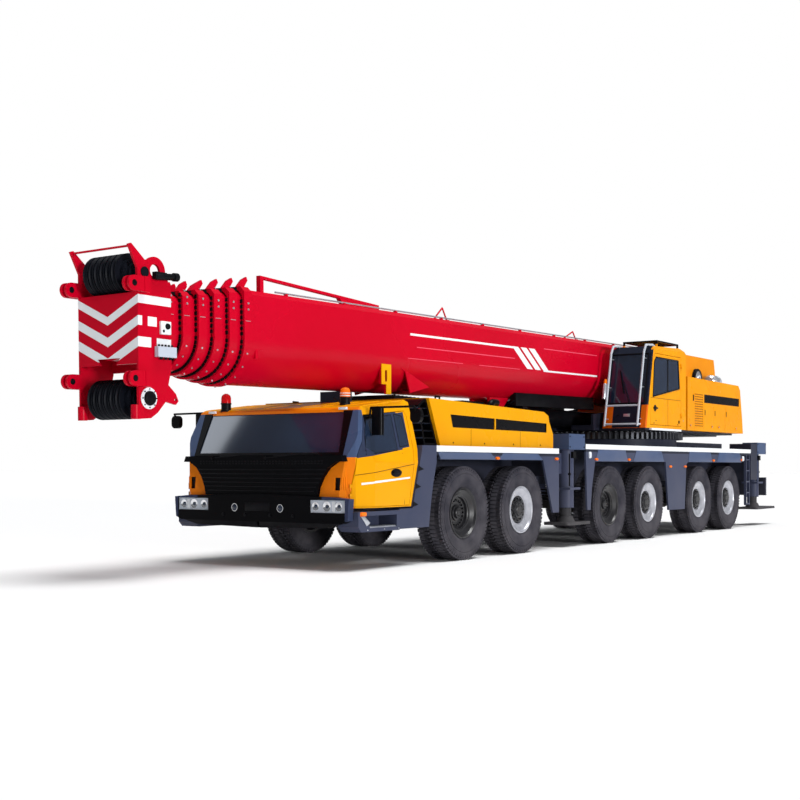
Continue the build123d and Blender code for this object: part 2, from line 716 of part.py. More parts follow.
for side_name, side in (("left", 1), ("right", -1)):
    with BuildPart() as carrier_door:
        add(cab_outer)
        add(cab_inner, mode=Mode.SUBTRACT)
        add(side_prism(DOOR, side, DOOR_GAP), mode=Mode.INTERSECT)
        add(cab_floor(CAB_WALL), mode=Mode.SUBTRACT)
        add(edge_bevel(side), mode=Mode.SUBTRACT)
        add(side_prism(DOOR_WINDOW, side), mode=Mode.SUBTRACT)
        add(side_prism(QUARTER_WINDOW, side), mode=Mode.SUBTRACT)
        for z in DOOR_HINGE_HEIGHTS:
            add(hinge_half(DOOR_HINGE, side, DOOR_HINGE_TURN, z + HINGE_HALF + RUNNING_GAP, -1, 26))
        add(door_mirror(side))
        for window in (DOOR_WINDOW, QUARTER_WINDOW):
            add(window_pane(window, side))
    save(carrier_door, f"carrier_door_{side_name}")

with BuildPart() as carrier_cab_glass:
    add(glass_outer)
    add(glass_inner, mode=Mode.SUBTRACT)
    add(front_prism(WINDSHIELD, GLASS_GAP), mode=Mode.INTERSECT)
save(carrier_cab_glass, "carrier_cab_glass")

# Cab front: black mask and bumper with the lamps' recesses, and the slatted vents behind the cab
BUMPER = [(0, 560), (1290, 560), (1380, 600), (1400, 850), (1180, 868), (0, 900)]
MASK = [(0, 880), (903, 880), (923, 982), (973, 1102), (1053, 1213), (1175, 1289), (1280, 1292), (1250, 1362),
        (0, 1362)]
VENT = [(4352, 1500), (4665, 1500), (4800, 2010), (4700, 2075), (4616, 2098)]
VENT_Y = (BODY_HALF - 450, BODY_HALF - 120)
VENT_FRAME = 35
VENT_SLATS = 5


def vent_box(side):
    outer = Plane((0, side * VENT_Y[1], 0), x_dir=(1, 0, 0), z_dir=(0, -1, 0))
    with BuildPart() as slats:
        for number in range(VENT_SLATS):
            with BuildSketch(Plane((4600, side * (VENT_Y[1] - 60), 1590 + 95 * number))):
                Rectangle(500, 120)
            extrude(amount=14)
        with BuildSketch(outer):
            with BuildLine():
                Polyline(*VENT, close=True)
            make_face()
        extrude(amount=side * (VENT_Y[1] - VENT_Y[0]), mode=Mode.INTERSECT)
    with BuildPart() as vent:
        with BuildSketch(outer):
            with BuildLine():
                Polyline(*VENT, close=True)
            make_face()
        extrude(amount=side * (VENT_Y[1] - VENT_Y[0]))
        with BuildSketch(outer):
            with BuildLine():
                Polyline(*VENT, close=True)
            make_face()
            offset(amount=-VENT_FRAME, mode=Mode.REPLACE)
        extrude(amount=side * (VENT_Y[1] - VENT_Y[0] - 20), mode=Mode.SUBTRACT)
        add(slats.part)
    return vent.part


def fascia_prism(outline, rear, front):
    with BuildPart() as prism:
        with BuildSketch(Plane.YZ.offset(rear)):
            with BuildLine():
                Polyline(*outline, close=True)
            make_face()
            mirror(about=Plane.YZ)
        extrude(amount=front - rear)
    return prism.part


bumper_bar = fascia_prism(BUMPER, 6240, 6340)
mask_plate = fascia_prism(MASK, 6200, 6300)
with BuildPart() as carrier_cab_fascia:
    add(bumper_bar)
    add(mask_plate)
    add(cab_outer, mode=Mode.SUBTRACT)
    add(cheek_skin.part, mode=Mode.SUBTRACT)
    for side in (1, -1):
        with BuildSketch(Plane.YZ.offset(6340)):
            with Locations((side * 1080, 760)):
                Rectangle(520, 150)
        extrude(amount=-60, mode=Mode.SUBTRACT)
        add(vent_box(side))
save(carrier_cab_fascia, "carrier_cab_fascia")

# Lamps: headlamp lens of each side and the marker lamps along the skirts
MARKER_LAMPS = [(3030, 1345), (1290, 1345), (-60, 1345), (-1290, 1345), (-3050, 1230), (-3740, 1230), (-5160, 1345)]
with BuildPart() as lamps:
    for side in (1, -1):
        with BuildSketch(Plane.YZ.offset(6280)):
            with Locations((side * 1080, 760)):
                Rectangle(519, 149)
        extrude(amount=45)
        for x, z in MARKER_LAMPS:
            with BuildSketch(Plane((x, side * BODY_HALF, z), x_dir=(1, 0, 0), z_dir=(0, side, 0))):
                Ellipse(45, 20)
            extrude(amount=22)
    for x, y, base in ((5920, -900, 1950), (5620, 800, 1985)):
        with BuildSketch(Plane((x, y, base - 40))):
            Circle(60)
        extrude(amount=2170 - base + 40, taper=8)
    add(cab_outer, mode=Mode.SUBTRACT)
    add(cab_inner, mode=Mode.SUBTRACT)
save(lamps, "lamps")

# Carrier cab inside: floor seats, dashboard and steering wheel
with BuildPart() as carrier_cab_interior:
    for side in (1, -1):
        with BuildSketch(Plane.XZ.offset(-side * 780 - 240)):
            with BuildLine():
                Polyline(
                    (5190, 785.3), (5600, 785.3), (5640, 1180), (5290, 1200), (5150, 1700), (5060, 1690), (5130, 1150),
                    close=True,
                )
            make_face()
        extrude(amount=480)
    with BuildSketch(Plane.XZ.offset(-1150)):
        with BuildLine():
            Polyline((5900, 785.3), (6140, 785.3), (6120, 1320), (5880, 1350), close=True)
        make_face()
    extrude(amount=2300)
    with BuildSketch(Plane((5780, 780, 1420), x_dir=(0, 1, 0), z_dir=(-0.64, 0, 0.77))):
        Circle(230)
        Circle(200, mode=Mode.SUBTRACT)
        Rectangle(420, 40)
    extrude(amount=25)
    with BuildSketch(Plane((5780, 780, 1420), x_dir=(0, 1, 0), z_dir=(0.64, 0, -0.77))):
        Circle(30)
    extrude(amount=220)
save(carrier_cab_interior, "carrier_cab_interior")


# Outriggers: a sliding beam with its jack barrel, and the jack leg with its float
def make_beam(label, box_x, side):
    beam_x = box_x + side * BEAM_OFFSET
    with BuildPart() as beam:
        with BuildSketch(Plane.XZ.offset(-side * JACK_Y)):
            with Locations((beam_x, (BEAM_Z[0] + BEAM_Z[1]) / 2)):
                Rectangle(BEAM_WIDTH, BEAM_Z[1] - BEAM_Z[0])
        extrude(amount=side * (JACK_Y + BEAM_INNER_END))
        with BuildSketch(Plane.XY.offset(BEAM_Z[0])):
            with Locations((box_x, side * (JACK_Y - 70))):
                Rectangle(460, 140)
        extrude(amount=BEAM_Z[1] - BEAM_Z[0])
        with BuildSketch(Plane.XY.offset(JACK_BOTTOM)):
            with Locations((box_x, side * JACK_Y)):
                Circle(JACK_RADIUS)
        extrude(amount=JACK_TOP - JACK_BOTTOM)
        with BuildSketch(Plane.XY.offset(JACK_BOTTOM + 275)):
            with Locations((box_x, side * JACK_Y)):
                Rectangle(350, 2 * (BODY_HALF - JACK_Y) - 60)
        extrude(amount=35)
        with BuildSketch(Plane.XY.offset(JACK_TOP)):
            with Locations((box_x, side * (BODY_HALF - 160))):
                Rectangle(540, 320)
        extrude(amount=240)
        with BuildSketch(Plane.XY.offset(JACK_BOTTOM)):
            with Locations((box_x, side * JACK_Y)):
                Circle(JACK_BORE)
        extrude(amount=JACK_TOP - JACK_BOTTOM, mode=Mode.SUBTRACT)
    save(beam, label)


def make_leg(label, box_x, side, float_behind):
    with BuildPart() as leg:
        with BuildSketch(Plane.XY.offset(FLOAT_BOTTOM + 40)):
            with Locations((box_x, side * JACK_Y)):
                Circle(JACK_LEG)
        extrude(amount=JACK_TOP - FLOAT_BOTTOM - 60)
        with BuildSketch(Plane.XY.offset(FLOAT_BOTTOM)):
            with Locations((box_x + (FLOAT_AHEAD - float_behind) / 2, side * (JACK_Y - 20))):
                RectangleRounded(FLOAT_AHEAD + float_behind, 440, 60)
        extrude(amount=45)
        with BuildSketch(Plane.XY.offset(FLOAT_BOTTOM + 45)):
            with Locations((box_x, side * JACK_Y)):
                Circle(150)
        extrude(amount=90, taper=25)
        with BuildSketch(Plane.XY.offset(JACK_TOP - 120)):
            with Locations((box_x, side * JACK_Y)):
                Circle(JACK_BORE - RUNNING_GAP)
        extrude(amount=90)
    save(leg, label)


for name, box_x, float_behind in OUTRIGGERS:
    for side_name, side in (("left", 1), ("right", -1)):
        make_beam(f"outrigger_{name}_{side_name}", box_x, side)
        make_leg(f"jack_{name}_{side_name}", box_x, side, float_behind)

# Boom: a tilted frame whose local X runs along the boom from the foot pin
droop = radians(BOOM_DROOP)
boom_axis = (cos(droop), 0, -sin(droop))
boom_up = (sin(droop), 0, cos(droop))


def boom_point(along, across=0.0, up=0.0):
    return (
        FOOT_X + along * cos(droop) + up * sin(droop),
        across,
        FOOT_Z - along * sin(droop) + up * cos(droop),
    )


def cross_plane(along):
    return Plane(boom_point(along), x_dir=(0, 1, 0), z_dir=boom_axis)


def side_plane(across):
    return Plane(boom_point(0, across), x_dir=boom_axis, z_dir=(0, -1, 0))


def tube_form(half, top, rear, front):
    with BuildPart() as form:
        with BuildSketch(cross_plane(rear)):
            with BuildLine():
                Polyline((-half, BELLY_CENTRE), (-half, top - 60), (-half + 60, top), (half - 60, top),
                         (half, top - 60), (half, BELLY_CENTRE))
                ThreePointArc((half, BELLY_CENTRE), (0, BELLY_CENTRE - half), (-half, BELLY_CENTRE))
            make_face()
        extrude(amount=front - rear)
    return form.part


def section_half(index):
    return BASE_HALF - SECTION_STEP * index


def section_top(index):
    return BASE_TOP - SECTION_STEP * index


def slide_pads(index, along):
    half = section_half(index) - SECTION_WALL
    inner_half = section_half(index + 1)
    with BuildPart() as pads:
        with BuildSketch(cross_plane(along)):
            with Locations((0, section_top(index + 1) + PAD_GAP)):
                Rectangle(inner_half, SECTION_STEP - SECTION_WALL - PAD_GAP + 2, align=(Align.CENTER, Align.MIN))
            for side in (1, -1):
                with Locations((side * (inner_half + PAD_GAP), 150)):
                    Rectangle(SECTION_STEP - SECTION_WALL - PAD_GAP + 2, 120,
                              align=(Align.MIN if side > 0 else Align.MAX, Align.CENTER))
        extrude(amount=110)
    return pads.part


def collar(index, rear):
    half = section_half(index) + COLLAR_LIP
    top = section_top(index) + COLLAR_LIP
    ring = tube_form(half, top, rear, rear + COLLAR_LENGTH)
    hole = tube_form(section_half(index) - SECTION_WALL, section_top(index) - SECTION_WALL, rear - 1,
                     rear + COLLAR_LENGTH + 1)
    with BuildPart() as band:
        add(ring)
        add(hole, mode=Mode.SUBTRACT)
        for side in (1, -1):
            with BuildSketch(side_plane(side * (half - 130))):
                with BuildLine():
                    Polyline(
                        (rear + 10, top - 5), (rear - 60, top + 90), (rear - 40, top + 130), (rear + 40, top + 90),
                        (rear + COLLAR_LENGTH, top - 5), close=True,
                    )
                make_face()
            extrude(amount=15, both=True)
    return band.part


# Base section: tube, foot lugs round the pin, luffing bracket, front collar, gussets, side brackets, top duct
foot_bore = FOOT_PIN_RADIUS + RUNNING_GAP
GUSSET = [(4137, 2650), (3239, 2345), (3717, 2240), (3833, 2527)]
GUSSET_Y = BASE_HALF - 35
GUSSET_HALF = 8
SIDE_BRACKET_Y = BASE_HALF - 10
ROOF_DUCT = [(10783, 530), (10783, 600), (13172, 735), (13172, 530), (13110, 530), (13110, 700), (11640, 615),
             (11560, 530)]
with BuildPart() as boom_base:
    add(tube_form(BASE_HALF, BASE_TOP, BASE_REAR, BASE_FRONT))
    add(tube_form(BASE_HALF - SECTION_WALL, BASE_TOP - SECTION_WALL, BASE_REAR + 40, BASE_FRONT + 1),
        mode=Mode.SUBTRACT)
    add(slide_pads(0, BASE_FRONT - 130))
    add(collar(0, BASE_FRONT - COLLAR_LENGTH))
    for side in (1, -1):
        with BuildSketch(side_plane(side * 430)):
            with BuildLine():
                Polyline((BASE_REAR + 10, -420), (BASE_REAR + 10, 470), (60, 190), (-150, 130), (-150, -130),
                         (60, -190), close=True)
            make_face()
            Circle(190)
            Circle(foot_bore, mode=Mode.SUBTRACT)
        extrude(amount=60, both=True)
    for side in (1, -1):
        with BuildSketch(Plane.XZ.offset(-side * LUFF_LUG_Y)):
            with BuildLine():
                Polyline((LUFF_EYE[0] - 420, 2330), (LUFF_EYE[0] - 90, 2060), (LUFF_EYE[0] + 60, 2000),
                         (LUFF_EYE[0] + 105, 2080), (LUFF_EYE[0] + 200, 2310), close=True)
            make_face()
        extrude(amount=LUFF_LUG_HALF, both=True)
        with BuildSketch(Plane.XZ.offset(-side * (LUFF_LUG_Y + LUFF_LUG_HALF))):
            with Locations(LUFF_EYE):
                Circle(LUFF_PIN + 15)
        extrude(amount=-side * 20)
    for side in (1, -1):
        with BuildSketch(Plane((0, side * GUSSET_Y, 0), x_dir=(1, 0, 0), z_dir=(0, -1, 0))):
            with BuildLine():
                Polyline(*GUSSET, close=True)
            make_face()
        extrude(amount=GUSSET_HALF, both=True)
    with BuildSketch(Plane.XZ.offset(-SIDE_BRACKET_Y)):
        with Locations((4303, 2462)):
            Rectangle(220, 270)
        with Locations((4248, 2262)):
            Rectangle(110, 130)
        with Locations((4311, 2440)):
            SlotOverall(160, 50, rotation=90, mode=Mode.SUBTRACT)
        with Locations((6920, 2600)):
            Rectangle(236, 24)
        with Locations((6905, 2545)):
            Rectangle(50, 120)
    extrude(amount=40)
    with BuildSketch(side_plane(400)):
        with BuildLine():
            Polyline(*ROOF_DUCT, close=True)
        make_face()
    extrude(amount=30, both=True)
    add(tube_form(BASE_HALF - SECTION_WALL, BASE_TOP - SECTION_WALL, BASE_REAR + 40, BASE_FRONT + 1),
        mode=Mode.SUBTRACT)
    add(slide_pads(0, BASE_FRONT - 130))
save(boom_base, "boom_base")

# Telescopes 1 to 5 are plain tubes with a collar, the sixth carries the head
for index in range(1, TELESCOPES):
    front = BASE_FRONT + COLLAR_PITCH * index
    rear = BASE_REAR + 90 * index
    half = section_half(index)
    with BuildPart() as telescope:
        add(tube_form(half, section_top(index), rear, front))
        add(tube_form(half - SECTION_WALL, section_top(index) - SECTION_WALL, rear - 1, front + 1),
            mode=Mode.SUBTRACT)
        add(collar(index, front - COLLAR_LENGTH))
        add(slide_pads(index, front - 120))
    save(telescope, f"telescope_{index}")

# Head: two cheek plates, the striped front plate, jib lugs and cross plates
HEAD_CHEEK = [
    (15140, 430), (15140, 640), (15000, 701), (14900, 721), (14760, 621), (14660, 421), (14670, -459),
    (14710, -609), (14600, -700), (14560, -779), (14600, -819), (14750, -789), (14870, -909), (14970, -969),
    (15140, -979),
]
TOP_SHEAVES = (15040, 565)
LOW_SHEAVES = (15000, -760)
SHEAVE_RADIUS = 215
SHEAVE_PIN = 55
JIB_LUGS = [(15250, 425), (15250, -560)]
JIB_PIN = 35
CHEEK_EYE = (14890, 590)
TIE_HOLE = (14603, -765)
ROPE_HORN = [(15060, 560), (15140, 600), (15262, 832), (15222, 846), (15030, 690)]
ROPE_BAR = (15225, 818)
BOX_PLACE = (14785, -265)
with BuildPart() as telescope_6:
    add(tube_form(section_half(6), section_top(6), BASE_REAR + 540, HEAD_FRONT - 40))
    add(tube_form(section_half(6) - SECTION_WALL, section_top(6) - SECTION_WALL, BASE_REAR + 539, HEAD_FRONT + 1),
        mode=Mode.SUBTRACT)
    with BuildSketch(cross_plane(HEAD_REAR + 10)):
        Rectangle(2 * HEAD_HALF, 900)
        with Locations((0, 0)):
            Rectangle(2 * (section_half(6) - SECTION_WALL) - 40, 560, mode=Mode.SUBTRACT)
    extrude(amount=40)
    with BuildSketch(cross_plane(HEAD_FRONT)):
        with Locations((0, -25)):
            Rectangle(2 * HEAD_HALF, 750)
        with BuildLine():
            Polyline((-190, -330), (190, -330), (120, -401), (-120, -401), close=True)
        make_face(mode=Mode.SUBTRACT)
    extrude(amount=-30)
    with BuildSketch(side_plane(HEAD_HALF - HEAD_PLATE / 2)):
        with Locations(ROPE_BAR):
            Circle(12)
    extrude(amount=2 * HEAD_HALF - HEAD_PLATE)
    with BuildSketch(side_plane(HEAD_HALF + 70)):
        with Locations(BOX_PLACE):
            Rectangle(270, 110)
    extrude(amount=75)
    for side in (1, -1):
        with BuildSketch(side_plane(side * (HEAD_HALF - HEAD_PLATE / 2))):
            with BuildLine():
                Polyline(*HEAD_CHEEK, close=True)
            make_face()
            with Locations(CHEEK_EYE):
                Circle(150)
                Circle(70, mode=Mode.SUBTRACT)
            with Locations(TIE_HOLE):
                Circle(18, mode=Mode.SUBTRACT)
            with BuildLine():
                Polyline(*ROPE_HORN, close=True)
            make_face()
            for place in (TOP_SHEAVES, LOW_SHEAVES):
                with Locations(place):
                    Circle(SHEAVE_PIN + RUNNING_GAP, mode=Mode.SUBTRACT)
        extrude(amount=HEAD_PLATE / 2, both=True)
        with BuildSketch(Plane(boom_point(HEAD_FRONT, side * (HEAD_HALF - 50), -979), x_dir=boom_axis, z_dir=boom_up)):
            Circle(50)
        extrude(amount=150)
        for along, up in JIB_LUGS:
            for across in (HEAD_HALF + 60, HEAD_HALF - HEAD_PLATE / 2):
                with BuildSketch(side_plane(side * across)):
                    with Locations((along, up)):
                        Circle(80)
                    with Locations((along - 110, up)):
                        Rectangle(220, 160)
                    with Locations((along, up)):
                        Circle(JIB_PIN, mode=Mode.SUBTRACT)
                extrude(amount=HEAD_PLATE / 2, both=True)
            with BuildSketch(side_plane(side * (HEAD_HALF - HEAD_PLATE))):
                with Locations((along - 170, up)):
                    Rectangle(60, 160)
            extrude(amount=side * -110)
save(telescope_6, "telescope_6")

# Head sheaves: two packs on their pins
with BuildPart() as head_sheaves:
    for along, up in (TOP_SHEAVES, LOW_SHEAVES):
        with BuildSketch(side_plane(HEAD_HALF + 10)):
            with Locations((along, up)):
                Circle(SHEAVE_PIN)
        extrude(amount=2 * HEAD_HALF + 20)
        for number in range(6):
            across = -215 + 86 * number
            with BuildSketch(side_plane(across + 34)):
                with Locations((along, up)):
                    Circle(SHEAVE_RADIUS)
            extrude(amount=68)
        for half, radius in ((300, 150), (345, 100)):
            with BuildSketch(side_plane(half)):
                with Locations((along, up)):
                    Circle(radius)
            extrude(amount=2 * half)
save(head_sheaves, "head_sheaves")

# Luffing cylinder: barrel with its foot eye, rod with its head eye
luff_span = LUFF_EYE[0] - LUFF_FOOT[0]
luff_rise = LUFF_EYE[1] - LUFF_FOOT[1]
luff_length = (luff_span**2 + luff_rise**2) ** 0.5
luff_axis = (luff_span / luff_length, 0, luff_rise / luff_length)
barrel_length = luff_length - ROD_SHOWN


def luff_plane(along):
    return Plane(
        (LUFF_FOOT[0] + luff_axis[0] * along, 0, LUFF_FOOT[1] + luff_axis[2] * along),
        x_dir=(0, 1, 0), z_dir=luff_axis,
    )


with BuildPart() as luff_barrel:
    with BuildSketch(luff_plane(110)):
        Circle(BARREL_RADIUS)
    extrude(amount=barrel_length - 110)
    with BuildSketch(Plane.XZ.offset(-LUFF_EYE_HALF)):
        with Locations(LUFF_FOOT):
            Circle(130)
        with Locations((LUFF_FOOT[0] + 100, LUFF_FOOT[1])):
            Rectangle(200, 260)
    extrude(amount=2 * LUFF_EYE_HALF)
    with BuildSketch(luff_plane(luff_span - ROD_BURIED - ROD_FOOT_GAP)):
        Circle(ROD_RADIUS + RUNNING_GAP)
    extrude(amount=barrel_length, mode=Mode.SUBTRACT)
    with BuildSketch(Plane.XZ.offset(-LUFF_EYE_HALF)):
        with Locations(LUFF_FOOT):
            Circle(LUFF_PIN + RUNNING_GAP)
    extrude(amount=2 * LUFF_EYE_HALF, mode=Mode.SUBTRACT)
save(luff_barrel, "luff_barrel")

with BuildPart() as luff_rod:
    with BuildSketch(luff_plane(luff_length - ROD_BURIED)):
        Circle(ROD_RADIUS)
    extrude(amount=ROD_BURIED - 60)
    with BuildSketch(Plane.XZ.offset(-LUFF_EYE_HALF)):
        with Locations(LUFF_EYE):
            Circle(105)
    extrude(amount=2 * LUFF_EYE_HALF)
    eye_pin_half = LUFF_LUG_Y - LUFF_LUG_HALF - LUFF_PIN_GAP
    with BuildSketch(Plane.XZ.offset(-eye_pin_half)):
        with Locations(LUFF_EYE):
            Circle(LUFF_PIN)
    extrude(amount=2 * eye_pin_half)
save(luff_rod, "luff_rod")

# Turntable: plate over the ring, cheeks that carry the boom's foot, cab platform, cylinder lugs
CHEEK = [(-7650, 1860), (-1750, 1860), (-1750, 2130), (-3300, 2300), (-4400, 2650), (-5560, 3020), (-5822, 3474),
         (-7494, 3474), (-7560, 3250), (-7650, 2700)]
SLOT_HALF = 165
SLOT_REAR = -4100
STEP_LEDGE = (-3468, -2144)
REEL = (-6480, 3010)
WINCH = (-7340, 3030)
WINCH_SHAFT = 60
with BuildPart() as turntable:
    with BuildSketch(Plane((SLEW_X, 0, RING_BOTTOM))):
        Circle(RING_BORE - RUNNING_GAP)
        Circle(RING_BORE - 130, mode=Mode.SUBTRACT)
    extrude(amount=TABLE_BOTTOM - RING_BOTTOM)
    with BuildSketch(Plane.XY.offset(TABLE_BOTTOM)):
        with Locations((-4700, 0)):
            Rectangle(5900, 2 * TABLE_HALF)
    extrude(amount=TABLE_PLATE)
    with BuildSketch(Plane.XY.offset(TABLE_BOTTOM)):
        with Locations(((OP_CAB_X[0] + OP_CAB_X[1]) / 2, (TABLE_HALF + BODY_HALF) / 2)):
            Rectangle(OP_CAB_X[1] - OP_CAB_X[0], BODY_HALF - TABLE_HALF)
        with Locations(((HOUSE_X[0] + HOUSE_X[1]) / 2, (TABLE_HALF + BODY_HALF) / 2)):
            Rectangle(HOUSE_X[1] - HOUSE_X[0] - 200, 500)
        with Locations((SLEW_X, 0)):
            Circle(RING_BORE + 60)
    extrude(amount=PLATFORM)
    for side in (1, -1):
        with BuildSketch(Plane.XZ.offset(-side * CHEEK_INNER)):
            with BuildLine():
                Polyline(*CHEEK, close=True)
            make_face()
        extrude(amount=-side * CHEEK_THICKNESS)
        with BuildSketch(Plane.XZ.offset(-side * SLOT_HALF)):
            with BuildLine():
                Polyline((-4130, 1860), (-3640, 1860), (-3800, 2150), (-3990, 2150), close=True)
            make_face()
        extrude(amount=-side * 45)
    with BuildSketch(Plane.XZ.offset(-620)):
        with Locations((FOOT_X, FOOT_Z)):
            Circle(FOOT_PIN_RADIUS)
    extrude(amount=1240)
    with BuildSketch(Plane.XZ.offset(-SLOT_HALF - 60)):
        with Locations(LUFF_FOOT):
            Circle(LUFF_PIN)
    extrude(amount=2 * SLOT_HALF + 120)
    with BuildSketch(Plane.XY.offset(TABLE_BOTTOM)):
        with Locations(((STEP_LEDGE[0] + STEP_LEDGE[1]) / 2, BODY_HALF + 20)):
            Rectangle(STEP_LEDGE[1] - STEP_LEDGE[0], 50)
    extrude(amount=PLATFORM)
    for half, radius in ((50, 150), (8, 215)):
        with BuildSketch(Plane.XZ.offset(-CHEEK_INNER - CHEEK_THICKNESS)):
            with Locations(REEL):
                Circle(radius)
        extrude(amount=-half)
    with BuildSketch(Plane.XZ.offset(-CHEEK_INNER - CHEEK_THICKNESS - 42)):
        with Locations(REEL):
            Circle(215)
    extrude(amount=-8)
    with BuildSketch(Plane.XZ.offset(-700)):
        with Locations(WINCH):
            Circle(WINCH_SHAFT + RUNNING_GAP)
    extrude(amount=1400, mode=Mode.SUBTRACT)
    with BuildSketch(Plane.XY.offset(TABLE_BOTTOM - 5)):
        with Locations(((SLOT_REAR - 1500) / 2, 0)):
            Rectangle(-1500 - SLOT_REAR, 2 * SLOT_HALF)
    extrude(amount=TABLE_PLATE + 10, mode=Mode.SUBTRACT)
save(turntable, "turntable")

with BuildPart() as winch_drum:
    for half, radius in ((CHEEK_INNER + CHEEK_THICKNESS, WINCH_SHAFT), (440, 200)):
        with BuildSketch(Plane.XZ.offset(-half)):
            with Locations(WINCH):
                Circle(radius)
        extrude(amount=2 * half)
    for side in (1, -1):
        with BuildSketch(Plane.XZ.offset(-side * 440)):
            with Locations(WINCH):
                Circle(290)
        extrude(amount=-side * 30)
save(winch_drum, "winch_drum")

# Power house beside the boom's foot, over the engine of the upper works, with louvres, door seams and eyes
LOUVRES = 14
LOUVRE_DEPTH = 12
HOUSE_SEAMS = (-4680, -5200, -5810)
HOUSE_EYES = (-3990, -5080, -5440, -6400)
HOUSE_SIDE = [(-3870, 1895.3), (-6828, 1895.3), (-6790, 2160), (-6660, 2760), (-6560, 2850), (-3870, 2880)]
with BuildPart() as power_house:
    with BuildSketch(Plane.XZ.offset(-HOUSE_Y[1])):
        with BuildLine():
            Polyline(*HOUSE_SIDE, close=True)
        make_face()
    extrude(amount=HOUSE_Y[1] - HOUSE_Y[0])
    with BuildSketch(Plane.XZ.offset(-HOUSE_Y[1])):
        for number in range(LOUVRES):
            with Locations((-4430, 1990 + 45 * number)):
                Rectangle(420, 16)
        for x in HOUSE_SEAMS:
            with Locations((x, 2165)):
                Rectangle(6, 470)
    extrude(amount=LOUVRE_DEPTH, mode=Mode.SUBTRACT)
    with BuildSketch(Plane.XZ.offset(-HOUSE_Y[1])):
        with BuildLine():
            Polyline((-4700, 2432), (-6600, 2432), (-6600, 2590), (-4700, 2590), close=True)
        make_face()
    extrude(amount=5, mode=Mode.SUBTRACT)
    with BuildSketch(Plane.XZ.offset(-HOUSE_Y[1])):
        for x in HOUSE_EYES:
            with Locations((x, 1990)):
                Circle(24)
                Circle(10, mode=Mode.SUBTRACT)
    extrude(amount=-14)
save(power_house, "power_house")

# Operator's cab: side outline through its width, hollowed, with its windows and door cut
OP_SIDE = [(-1960, 1895.3), (-2250, 3200), (-2420, 3330), (-3650, 3370), (-3790, 3270), (-3790, 1895.3)]


def op_form(inset):
    with BuildPart() as form:
        with BuildSketch(Plane.XZ.offset(-OP_CAB_Y[1] + inset)):
            with BuildLine():
                Polyline(*OP_SIDE, close=True)
            make_face()
            if inset:
                offset(amount=-inset, mode=Mode.REPLACE)
        extrude(amount=OP_CAB_Y[1] - OP_CAB_Y[0] - 2 * inset)
        chamfer(form.edges().filter_by(Axis.X, tolerance=3).group_by(Axis.Z)[-1], 60)
    return form.part


OP_DOOR = [(-2180, 1950), (-3560, 1950), (-3560, 3200), (-2390, 3200), (-2270, 3060)]
GUARD_Y = (OP_CAB_Y[0] + 90, OP_CAB_Y[1] - 90)
ROOF_RACK = (-3620, -2640)
ROOF_RACK_Z = 3420
OP_DOOR_WINDOW = [(-2290, 2440), (-3480, 2630), (-3420, 3130), (-2430, 3130), (-2350, 3050)]
OP_PILLAR = 60
OP_GLASS_Y = (OP_CAB_Y[0] + OP_PILLAR, OP_CAB_Y[1] - OP_PILLAR)
OP_FRONT_WINDOW = [(OP_GLASS_Y[0], 2330), (OP_GLASS_Y[1], 2330), (OP_GLASS_Y[1], 3180), (OP_GLASS_Y[0], 3180)]
OP_REAR_WINDOW = [(OP_GLASS_Y[0] + 80, 2600), (OP_GLASS_Y[1] - 80, 2600), (OP_GLASS_Y[1] - 80, 3150),
                  (OP_GLASS_Y[0] + 80, 3150)]


def op_front_prism(outline, rear, front, inset=0.0):
    with BuildPart() as prism:
        with BuildSketch(Plane.YZ.offset(rear)):
            with BuildLine():
                Polyline(*outline, close=True)
            make_face()
            if inset:
                offset(amount=-inset, mode=Mode.REPLACE)
        extrude(amount=front - rear)
    return prism.part


op_outer = op_form(0)
op_inner = op_form(OP_CAB_WALL)
op_glass_outer = op_form(10)
op_glass_inner = op_form(10 + GLASS)
with BuildPart() as operator_cab_shell:
    add(op_outer)
    add(op_inner, mode=Mode.SUBTRACT)
    add(side_prism(OP_DOOR, 1), mode=Mode.SUBTRACT)
    add(op_front_prism(OP_FRONT_WINDOW, -2600, -1800), mode=Mode.SUBTRACT)
    add(op_front_prism(OP_REAR_WINDOW, -4000, -3700), mode=Mode.SUBTRACT)
    for z in OP_HINGE_HEIGHTS:
        add(hinge_half(OP_HINGE, 1, 0, z, -1, 5))
    for y in GUARD_Y:
        add(pipe_run([(-1835, y, 1925), (-2118, y, 3200), (-2200, y, 3330), (-2480, y, 3352), (-2560, y, 3330)], 20))
        add(pipe_run([(-1843, y, 1958), (-1990, y, 1958)], 16))
    for x, z in ((-1843, 1958), (-1914, 2280)):
        add(pipe_run([(x, GUARD_Y[0], z), (x, GUARD_Y[1], z)], 16))
    with BuildSketch(Plane.XY.offset(ROOF_RACK_Z)):
        for y in GUARD_Y:
            with Locations(((ROOF_RACK[0] + ROOF_RACK[1]) / 2, y)):
                Rectangle(ROOF_RACK[1] - ROOF_RACK[0], 30)
        for number in range(7):
            with Locations((ROOF_RACK[0] + 15 + number * (ROOF_RACK[1] - ROOF_RACK[0] - 30) / 6,
                            (GUARD_Y[0] + GUARD_Y[1]) / 2)):
                Rectangle(24, GUARD_Y[1] - GUARD_Y[0])
    extrude(amount=28)
    with BuildSketch(Plane.XY.offset(ROOF_RACK_Z - 90)):
        for y in GUARD_Y:
            for x in ROOF_RACK:
                with Locations((x + (15 if x < -3000 else -15), y)):
                    Rectangle(30, 30)
    extrude(amount=95)
save(operator_cab_shell, "operator_cab_shell")

